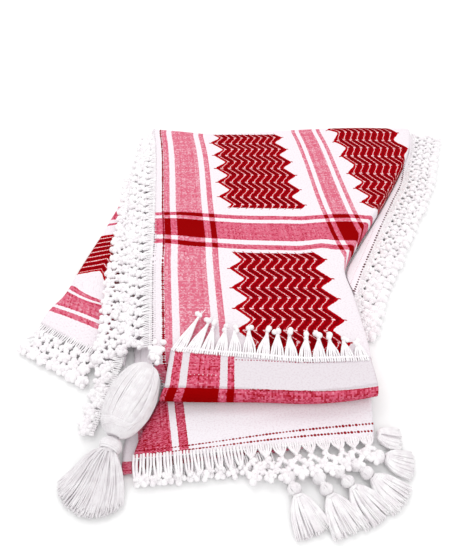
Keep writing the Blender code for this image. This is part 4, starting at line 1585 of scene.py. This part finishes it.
@dataclass
class SmallTassel:
    """Wound beads one after the other and a skirt of loose yarn."""

    number: int
    place: TasselPlace
    bead: float = 7.1
    bead_length: float = 12.0
    bead_yarns: int = 28
    height: float = 7.6
    spacing: float = 12.5
    strands: int = 160
    spread: float = 24.0

    def __post_init__(self) -> None:
        """Works out the tassel's own directions and where it starts."""
        self.heading = spoke(np.array((1.0, 0, 0)), np.array((0, 1.0, 0)), math.radians(self.place.turn))
        self.side, self.up = frame_at(self.heading)
        self.centre = np.array((self.place.x, self.place.y, self.height))

    def build(self, material: Material) -> Piece:
        """Makes the tassel.

        Args:
            material: the yarn's finish.

        Returns:
            The piece.
        """
        rng = np.random.default_rng(40 + self.number)
        work = YarnWork(f"small_tassel_yarn_{self.number}", sides=4, steps=2, jitter=0.1, seed=self.number)
        for bead in range(self.place.beads):
            self.wind_bead(work, rng, self.spacing * bead - 1.5)
        if self.place.beads:
            for lane in (-1.1, 1.1):
                steps = (-2.0, 3.0, 7.0, 11.0)
                cord = [self.centre - self.heading * t + self.side * lane * (1 + 0.12 * t) for t in steps]
                work.strand(cord, 1.0)
        root = self.centre + self.heading * (self.spacing * self.place.beads - 1.5)
        self.hang_skirt(work, rng, root)
        wrap = []
        for k in range(28):
            out = spoke(self.side, self.up, k * 0.7)
            wrap.append(root + self.heading * (1.2 + 0.5 * k / 10) + 4.6 * out)
        work.strand(wrap, 0.8)
        return work.build(material)

    def wind_bead(self, work: YarnWork, rng: np.random.Generator, begin: float) -> None:
        """Winds one bead round its core, with a ring at its upper end.

        Args:
            work: what its yarns go into.
            rng: seeded source of unevenness.
            begin: distance of its upper end from the tassel's start.
        """
        centre, heading, side, up = self.centre, self.heading, self.side, self.up
        for k in range(self.bead_yarns):
            around = FULL_TURN * (k + rng.uniform(-0.3, 0.3)) / self.bead_yarns
            line = []
            for t in np.linspace(0.06, 0.94, 7):
                girth = (self.bead - 1.0) * math.sin(math.pi * t) ** 0.7
                middle = centre + heading * (begin + self.bead_length * t)
                line.append(middle + girth * spoke(side, up, around))
            work.strand(line, 0.95 * rng.uniform(0.8, 1.2))
        core = self.bead - 1.6
        spine = [centre + heading * (begin + self.bead_length * t) for t in (0.1, 0.35, 0.65, 0.9)]
        work.strand(spine, [2.0, core, core, 2.0])
        ring = [centre + heading * begin + 2.6 * spoke(side, up, a) for a in np.linspace(0, FULL_TURN, 9)]
        work.strand(ring, 1.2)

    def hang_skirt(self, work: YarnWork, rng: np.random.Generator, root: np.ndarray) -> None:
        """Hangs the skirt's loose yarn.

        Args:
            work: what its yarns go into.
            rng: seeded source of unevenness.
            root: where they start.
        """
        for _ in range(self.strands):
            across, deep = rng.uniform(-1, 1), rng.uniform(-1, 1)
            deep *= math.sqrt(1 - 0.8 * across * across)
            ray = spoke(self.heading, self.side, math.radians(self.spread) * across)
            far = (self.place.skirt + 1.5) * rng.uniform(0.86, 1.0)
            begin = root + self.side * 3.6 * across + self.up * 3.4 * deep
            line = []
            for t in (0.0, 0.2, 0.5, 1.0):
                spot = begin + ray * far * t + self.side * 3.6 * across * math.sin(math.pi * t ** 0.7)
                spot[2] = max(mix(begin[2], 4.2 + 2.7 * deep, float(ease(t * 1.2))), 1.4)
                line.append(spot)
            work.strand(line, [0.95, 1.0, 0.95, 0.6])


@dataclass
class CornerKnot:
    """The big tassel's cord, knotted through the corner of the cloth."""

    start: Point = (-141.0, -145.5, 36.5)
    heading: Point = (-0.35, -0.94, 0.0)
    length: float = 17.0
    half_width: float = 7.0
    loops: int = 5
    # Smaller knots of the same cord: how far along, across and up each lies, and its half width
    lumps: tuple[tuple[float, float, float, float], ...] = (
        (-6.0, 3.0, 2.0, 4.2),
        (-2.0, -4.5, 3.5, 3.8),
        (3.5, 6.0, 2.5, 4.0),
        (9.5, 5.0, 3.5, 4.2),
        (15.0, 6.0, 1.5, 3.8),
        (18.0, 2.0, 4.0, 3.6),
        (20.0, 8.0, 0.5, 3.4),
        (6.0, -6.0, 2.5, 3.6),
    )

    def build(self, material: Material) -> Piece:
        """Makes the knot.

        Args:
            material: the yarn's finish.

        Returns:
            The piece.
        """
        heading, begin = unit(np.array(self.heading)), np.array(self.start)
        side, up = frame_at(heading)
        work = YarnWork("corner_knot_yarn", sides=6, steps=3, jitter=0.1, seed=9)
        for loop in range(self.loops):
            middle = begin + heading * (2.4 + (self.length - 4.6) * loop / (self.loops - 1))
            half = self.half_width - 1.9 - 0.6 * abs(loop - 1.6)
            ring = [
                middle + heading * 1.1 * math.sin(a + loop) + half * spoke(side, up, a)
                for a in np.linspace(0, FULL_TURN, 13)
            ]
            work.strand(ring, 1.9)
        work.strand([begin + heading * t for t in (0.5, 5, 11, self.length - 0.5)], [2.0, 5.0, 4.6, 2.4])
        for along, across, rise, half in self.lumps:
            centre = begin + heading * along + side * across + up * rise
            work.bobble(centre, (half, half * 0.85, half * 0.8), (0.4, 0.2, along))
        return work.build(material)


# ---------------------------------------------------------------- studio


@dataclass(frozen=True)
class SoftLight:
    """A square lamp that faces the headscarf: its place and size in metres, its power in watts."""

    name: str
    place: Point
    size: float
    power: float

    def build(self) -> None:
        """Makes the lamp."""
        light = bpy.data.lights.new(self.name, "AREA")
        light.shape, light.size, light.energy = "SQUARE", self.size, self.power
        lamp = bpy.data.objects.new(self.name, light)
        lamp.location = self.place
        aim = -np.array(self.place)
        tilt = math.acos(-aim[2] / np.linalg.norm(aim))
        lamp.rotation_euler = (tilt, 0, math.atan2(aim[1], aim[0]) - math.pi / 2)
        bpy.context.scene.collection.objects.link(lamp)


@dataclass
class Studio:
    """White floor, bright soft light from all round and the camera, in metres."""

    eye: Point = (-0.065, -0.53, 0.55)
    down: float = 46.0  # degrees below level
    lens: float = 38.37
    sensor: float = 36.0
    nearest: float = 0.01
    floor_half: float = 6.0
    floor_level: float = -0.05  # in millimetres, just under the layers
    sky: float = 0.93
    lights: tuple[SoftLight, ...] = (
        SoftLight("key", (-0.5, 0.9, 1.7), 1.4, 10.0),
        SoftLight("fill", (0.5, -1.2, 1.5), 1.8, 7.0),
    )

    def build(self) -> None:
        """Makes the camera, the floor and the lights."""
        scene = bpy.context.scene
        camera = bpy.data.cameras.new("camera")
        camera.sensor_fit, camera.sensor_width, camera.lens = "AUTO", self.sensor, self.lens
        camera.clip_start = self.nearest
        holder = bpy.data.objects.new("camera", camera)
        holder.location = self.eye
        holder.rotation_euler = (math.radians(90 - self.down), 0, 0)
        scene.collection.objects.link(holder)
        scene.camera = holder
        half = self.floor_half / MM
        signs = ((-1, -1), (1, -1), (1, 1), (-1, 1))
        corners = [(x * half, y * half, self.floor_level) for x, y in signs]
        floor = plain_mesh("floor", corners, [[0, 1, 2, 3]], PaintedFloor().build())
        world = bpy.data.worlds.new("white_room")
        world.use_nodes = True
        feed(world.node_tree.nodes["Background"], {"Color": (1, 1, 1, 1), "Strength": self.sky})
        scene.world = world
        for light in self.lights:
            light.build()
        scene.view_settings.view_transform = "Standard"


# ---------------------------------------------------------------- the whole headscarf


@dataclass(frozen=True)
class Cut:
    """The flat cloth that a piece shows, in millimetres, how it is held and what goes with it."""

    width: float
    length: float
    share: float  # of the rectangle that the cut fills
    held: str
    rests_on: tuple[str, ...]
    fringes: tuple[str, ...]


@dataclass
class Headscarf:
    """Puts the pieces together and says what each is in the frame."""

    stack: FoldedStack = field(default_factory=FoldedStack)
    left_wing: LeftWing = field(default_factory=LeftWing)
    right_wing: RightWing = field(default_factory=RightWing)
    border: tuple[Stripe, ...] = bands((17.3, 25.8), (34.4, 70.7), (79.1, 86.8))
    inner: tuple[Stripe, ...] = bands((250.2, 256.8), (264.1, 289.9), (297.4, 304.4))
    cuts: dict[str, Cut] = field(
        default_factory=lambda: {
            "top_panel_cloth": Cut(438, 557, 0.68, "folded", ("folded_layers",), ("left_fringe_yarn",)),
            "cuff_cloth": Cut(228, 94, 0.87, "folded", ("top_panel_cloth",), ("cuff_fringe_yarn",)),
            "lower_flap_cloth": Cut(
                246, 86, 0.84, "laid", ("under_flap_cloth",), ("lower_fringe_bundles", "lower_fringe_fans")
            ),
            "under_flap_cloth": Cut(256, 97, 0.62, "laid", ("floor",), ("under_fringe_yarn",)),
            "left_wing_cloth": Cut(236, 366, 0.45, "folded", ("floor",), ("left_wing_fringe_yarn",)),
            "right_wing_cloth": Cut(26, 392, 0.6, "laid", ("folded_layers",), ("right_wing_fringe_yarn",)),
        }
    )
    small_tassels: tuple[TasselPlace, ...] = (
        TasselPlace(-8, -276, -68, 38, 2),
        TasselPlace(21, -277, -63, 38, 2),
        TasselPlace(40, -271, -53, 38, 2),
        TasselPlace(57, -265, -40, 36, 2),
        TasselPlace(68, -255, -14, 28, 2),
        TasselPlace(89, -236, -8, 24, 0),
    )

    def place(self, item: Piece, side: Side, *nodes: str) -> None:
        """Says what a piece stands for, and reports it.

        Args:
            item: the piece.
            side: which finish it has; not used.
            nodes: the solids that it replaces.
        """
        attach(item, "root")
        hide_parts(*nodes)
        log.info("%s: %d faces, stands for %s", item.name, len(item.data.polygons), ", ".join(nodes))

    def build(self) -> None:
        """Makes every piece."""
        yarn = CottonYarn().build()
        self.build_cloth()
        self.build_fringes(yarn)
        self.build_tassels(yarn)
        self.declare()

    def declare(self) -> None:
        """Goes over each stretch of cloth that shows and looks up its fringe pieces; nothing is stated or
        kept.
        """
        for name, cut in self.cuts.items():
            list(cut.rests_on)
            [bpy.data.objects[fringe] for fringe in cut.fringes]

    def build_cloth(self) -> None:
        """Makes the stretches of cloth that show, and the folded layers."""
        face = WovenCotton(
            "keffiyeh_cotton_face",
            warp=self.border + self.inner,
            weft=bands((-235, -209), (-199, -176), (16.2, 25.4), (34, 69), (75.9, 84)),
            contrast=0.22,
            patches=(
                Patch(96.5, 9.5, 101.2, 297, 35.5, 197.8),
                Patch(99.5, 9.5, -179, 10, 36.2, -57.2, pitch=11.4),
                Patch(319, 9.5, 101.2, 324, 33, 213.3),
            ),
            dots=(
                DotRow(15.7, 2.7, 2.3, start=-5),
                DotRow(15.5, 3.3, 3.3, end=-5),
                # The last two rows draw a fine grey line and small grey dots close to the hem
                DotRow(6, 1.0, 3.4, colour="#8C8085"),
                DotRow(3.2, 2.0, 3.6, end=70, colour="#6E6468"),
            ),
            ragged_edge=4.0,
        )
        folds = WovenCotton(
            "keffiyeh_cotton_folds",
            warp=bands(*((at + s.start, at + s.end) for at in (0, 230, 460) for s in self.border)),
        )
        turned_up = WovenCotton(
            "keffiyeh_cotton_turned_up",
            ground="#DDD6DB",
            warp=bands((-122.8, -113.9), (-106.1, -72.9), (-65.1, -58)),
            weft=bands((2, 120)),
            warp_share=0.62,
            weft_share=0.63,
            contrast=0.27,
            dots=(
                DotRow(-37, 1.8, 3.2, turned=True, start=-58, colour="#A85767"),
                DotRow(-14, 1.2, 4.4, turned=True, start=-106, end=-68, colour="#EBD3DA"),
            ),
        )
        lower = WovenCotton(
            "keffiyeh_cotton_lower",
            ground="#EDE9EE",
            warp=bands((-190, -124), (-116.9, -107.4)),
            dots=(DotRow(4, 2.7, 3.5, turned=True), DotRow(-4, 2.7, 3.5, turned=True)),
            warp_share=0.63,
            contrast=0.3,
        )
        lower_flap = LooseFlap(
            "lower_flap_cloth",
            (
                (-183, -136, -183, 87, 12.2),
                (-205, -140, -200, 87, 11.4),
                (-232, -152, -215, 86, 9.0),
                (-261, -160, -239, 84, 7.0),
            ),
            0.5,
            (
                Crease(((-150, -226), (-100, -214), (-30, -212)), 6, 0.7),
                Crease(((-60, -224), (0, -212), (60, -210)), 5, -0.6),
                Crease(((-140, -246), (-80, -238), (-20, -230)), 5, -0.5),
            ),
        )
        under = WovenCotton(
            "keffiyeh_cotton_under",
            warp=bands((-158, -118)),
            weft=bands((-200, -16)),
            weft_share=0.58,
            contrast=0.3,
        )
        under_flap = LooseFlap(
            "under_flap_cloth",
            ((-190, -136, -190, 85, 4.6), (-232, -167, -214, 85, 4.2), (-276, -170, -236, 84, 3.6)),
            0.2,
            (Crease(((-150, -260), (-80, -250), (0, -240)), 6, 0.3),),
        )
        wing = WovenCotton(
            "keffiyeh_cotton_wing",
            ground="#EEE7EC",
            weft=bands(
                (-68.7, -62.2), (-57.9, -36.6), (-33.1, -27.3), (86, 91), (98.7, 118), (125, 131)
            ),
            contrast=0.24,
            patches=(Patch(-8.7, 8, -600, 600, 5000, 2500, pitch=9.2, depth=0.0, line=0.075, turned=True),),
        )
        reverse = WovenCotton(
            "keffiyeh_cotton_reverse",
            ground="#F8F1F6",
            speckle=0.12,
            dots=(DotRow(-7.8, 2.7, 4.6, colour="#4A0008"), DotRow(-15.2, 0.9, 3.0, colour="#C98C9C")),
        )
        for finish, make, side, node in (
            (face, self.stack.build_top, Side.FRONT, "top_panel"),
            (folds, self.stack.build_layers, Side.REVERSE, "core"),
            (turned_up, self.stack.build_cuff, Side.REVERSE, "cuff_flap"),
            (lower, lower_flap.build, Side.REVERSE, "lower_flap"),
            (under, under_flap.build, Side.REVERSE, "under_flap"),
            (wing, self.left_wing.build, Side.FRONT, "left_wing"),
            (reverse, self.right_wing.build, Side.REVERSE, "right_wing"),
        ):
            self.place(make(finish.build()), side, node)

    def build_fringes(self, yarn: Material) -> None:
        """Makes the fringes on all cut edges.

        Args:
            yarn: their finish.
        """
        stack, left = self.stack, self.stack.panel["left"]
        outside = -400.0  # anywhere left of the hem, where the height is that of its edge
        hem = tuple(
            (float(left.at(y)), y, float(stack.height(outside, y))) for y in np.linspace(300, -138, 12)
        )
        under_hem = (
            *((float(left.at(y)) - 25, y, 10.6) for y in np.linspace(200, -108, 8)),
            (-182, -130, 11.2), (-185.5, -152, 11.2), (-191, -176, 9.8),
            (-197, -201, 8.4), (-203, -226, 7), (-205, -236, 6.4),
        )
        roots = [(x, float(stack.turn["root"].at(x))) for x in np.linspace(88, -126, 16)]
        turned_end = tuple((x, y, float(stack.height(x, y + 6)) + 2.2) for x, y in roots)
        wing_front = tuple(
            (mix(-181, -290, t), -150 + self.left_wing.skew * t, 7.5 - 1.5 * float(ease(t)))
            for t in np.linspace(0.985, 0.2, 6)
        )
        wing_side = (
            (95, -113, 4.6), (95.5, -80, 4.6),
            *(self.right_wing.edge(y) for y in (-40, -6, 39, 88, 141, 187, 231, 272)),
            (247, 311, 4.8), (248, 324, 4.8),
        )
        lower_locks = ((0, 28, 9.0, 0), (0.5, 27, 10.4, 0.05), (1, 20, 9.8, 0.05))
        fringes = {
            "left_fringe": (
                KnottedFringe(
                    "left_fringe_yarn", hem,
                    ((0, 13, 19, 0), (0.2, 28, 18, 0), (0.6, 33, 17, 0), (1, 34, 17, 0.1)),
                    (KnotRow(0.37, 4.1, 4), KnotRow(0.65, 4.4, 5), KnotRow(0.95, 4.6, 5)),
                    pitch=15.5, strands=6, radius=1.05, seed=11,
                ),
            ),
            "left_under_fringe": (
                KnottedFringe(
                    "left_under_fringe_yarn", under_hem,
                    ((0, 16, 13.6, 0), (0.3, 24, 13.6, 0), (0.62, 33, 13.6, 0), (0.78, 32, 13.6, 0),
                     (0.83, 20, 10, 0), (0.9, 16, 6, 0), (1, 15, 6, 0)),
                    (KnotRow(0.48, 4.5, 5), KnotRow(0.9, 4.7, 5)),
                    pitch=15.0, strands=6, seed=12,
                ),
            ),
            "cuff_fringe": (
                KnottedFringe(
                    "cuff_fringe_yarn", turned_end,
                    ((0, 17, 35.8, 0), (0.15, 24, 36, 0), (0.35, 33, 36, 0), (0.75, 36, 36, -0.05),
                     (0.9, 47, 36, -0.3), (1, 60, 35.6, -0.35)),
                    (KnotRow(0.86, 4.3, 1),),
                    pitch=15.4, strands=6, gather=0.66, bite=5.0, radius=1.22, tails=2,
                    wander=3.0, foot=1.7, seed=13,
                ),
            ),
            "lower_fringe": (
                KnottedFringe(
                    "lower_fringe_bundles", self.flap_edge(-261, -160, -239, 7.0, 0.0, 0.45), lower_locks,
                    (KnotRow(0.84, 2.7, 1),),
                    pitch=9.6, strands=3, bite=3.2, radius=1.5, tails=3, wander=1.2, seed=14,
                ),
                KnottedFringe(
                    "lower_fringe_fans", self.flap_edge(-261, -160, -239, 7.0, 0.45, 0.995), lower_locks,
                    (KnotRow(0.56, 3.5, 2), KnotRow(0.84, 4.1, 3), KnotRow(1.14, 4.2, 4)),
                    pitch=14.4, strands=6, gather=0.36, bite=3.0, radius=1.15, wander=1.0, seed=24,
                ),
            ),
            "under_fringe": (
                KnottedFringe(
                    "under_fringe_yarn", self.flap_edge(-276, -165, -236, 3.6, 0.03, 0.58),
                    ((0, 11, 5.6, 0.1), (0.3, 15, 5.6, 0.1), (1, 21, 5.6, 0.1)),
                    (KnotRow(0.8, 4.6, 4),),
                    pitch=13.0, strands=5, seed=15,
                ),
            ),
            "left_wing_fringe": (
                KnottedFringe(
                    "left_wing_fringe_yarn", wing_front,
                    ((0, 40, 5.6, 0), (1, 44, 5.6, 0.1)),
                    (KnotRow(0.32, 4.4, 4), KnotRow(0.6, 4.8, 5), KnotRow(0.9, 5.0, 5)),
                    pitch=13.2, strands=5, radius=1.15, seed=16,
                ),
            ),
            "right_wing_fringe": (
                KnottedFringe(
                    "right_wing_fringe_yarn", wing_side,
                    ((0, 13, 5.6, 0), (0.12, 26, 5.6, 0), (0.3, 34, 5.6, 0), (1, 40, 5.8, 0)),
                    (KnotRow(0.05, 3.4, 4, 0.9), KnotRow(0.31, 5.4, 3, 0.5), KnotRow(0.6, 5.7, 3, 0.5),
                     KnotRow(0.9, 5.9, 3, 0.5)),
                    pitch=14.2, strands=7, bite=6.5, seed=17,
                ),
            ),
        }
        for node, runs in fringes.items():
            for fringe in runs:
                self.place(fringe.build(yarn), Side.COTTON, node)

    @staticmethod
    def flap_edge(
        left_y: float, left_x: float, right_y: float, height: float, first: float, last: float
    ) -> tuple[Point, ...]:
        """Points along a flap's cut edge.

        Args:
            left_y: the edge's left end, from near to far.
            left_x: the same, sideways.
            right_y: its right end, from near to far.
            height: how high the edge lies.
            first: part of its width where the points start.
            last: part where they end.

        Returns:
            The points.
        """
        right_x = 84
        return tuple(
            (mix(left_x, right_x, t), mix(left_y, right_y, t), height) for t in np.linspace(first, last, 9)
        )

    def build_tassels(self, yarn: Material) -> None:
        """Makes the big tassel, its knot and the six small ones.

        Args:
            yarn: their finish.
        """
        loose = CottonYarn("tassel_cotton_yarn", "#F2EFF1", "#E8E3E6").build()
        for piece, node in zip(BigTassel().build(loose), ("tassel_head", "tassel_neck", "tassel_skirt")):
            self.place(piece, Side.COTTON, node)
        self.place(CornerKnot().build(yarn), Side.COTTON, "corner_knot")
        for number, spec in enumerate(self.small_tassels, start=1):
            piece = SmallTassel(number, spec).build(yarn)
            self.place(piece, Side.COTTON, f"small_tassel_{number}")


def main() -> None:
    """Builds the studio and the headscarf."""
    logging.basicConfig(level=logging.INFO, format="%(name)s %(message)s")
    Studio().build()
    Headscarf().build()


if __name__ == "__main__":
    main()
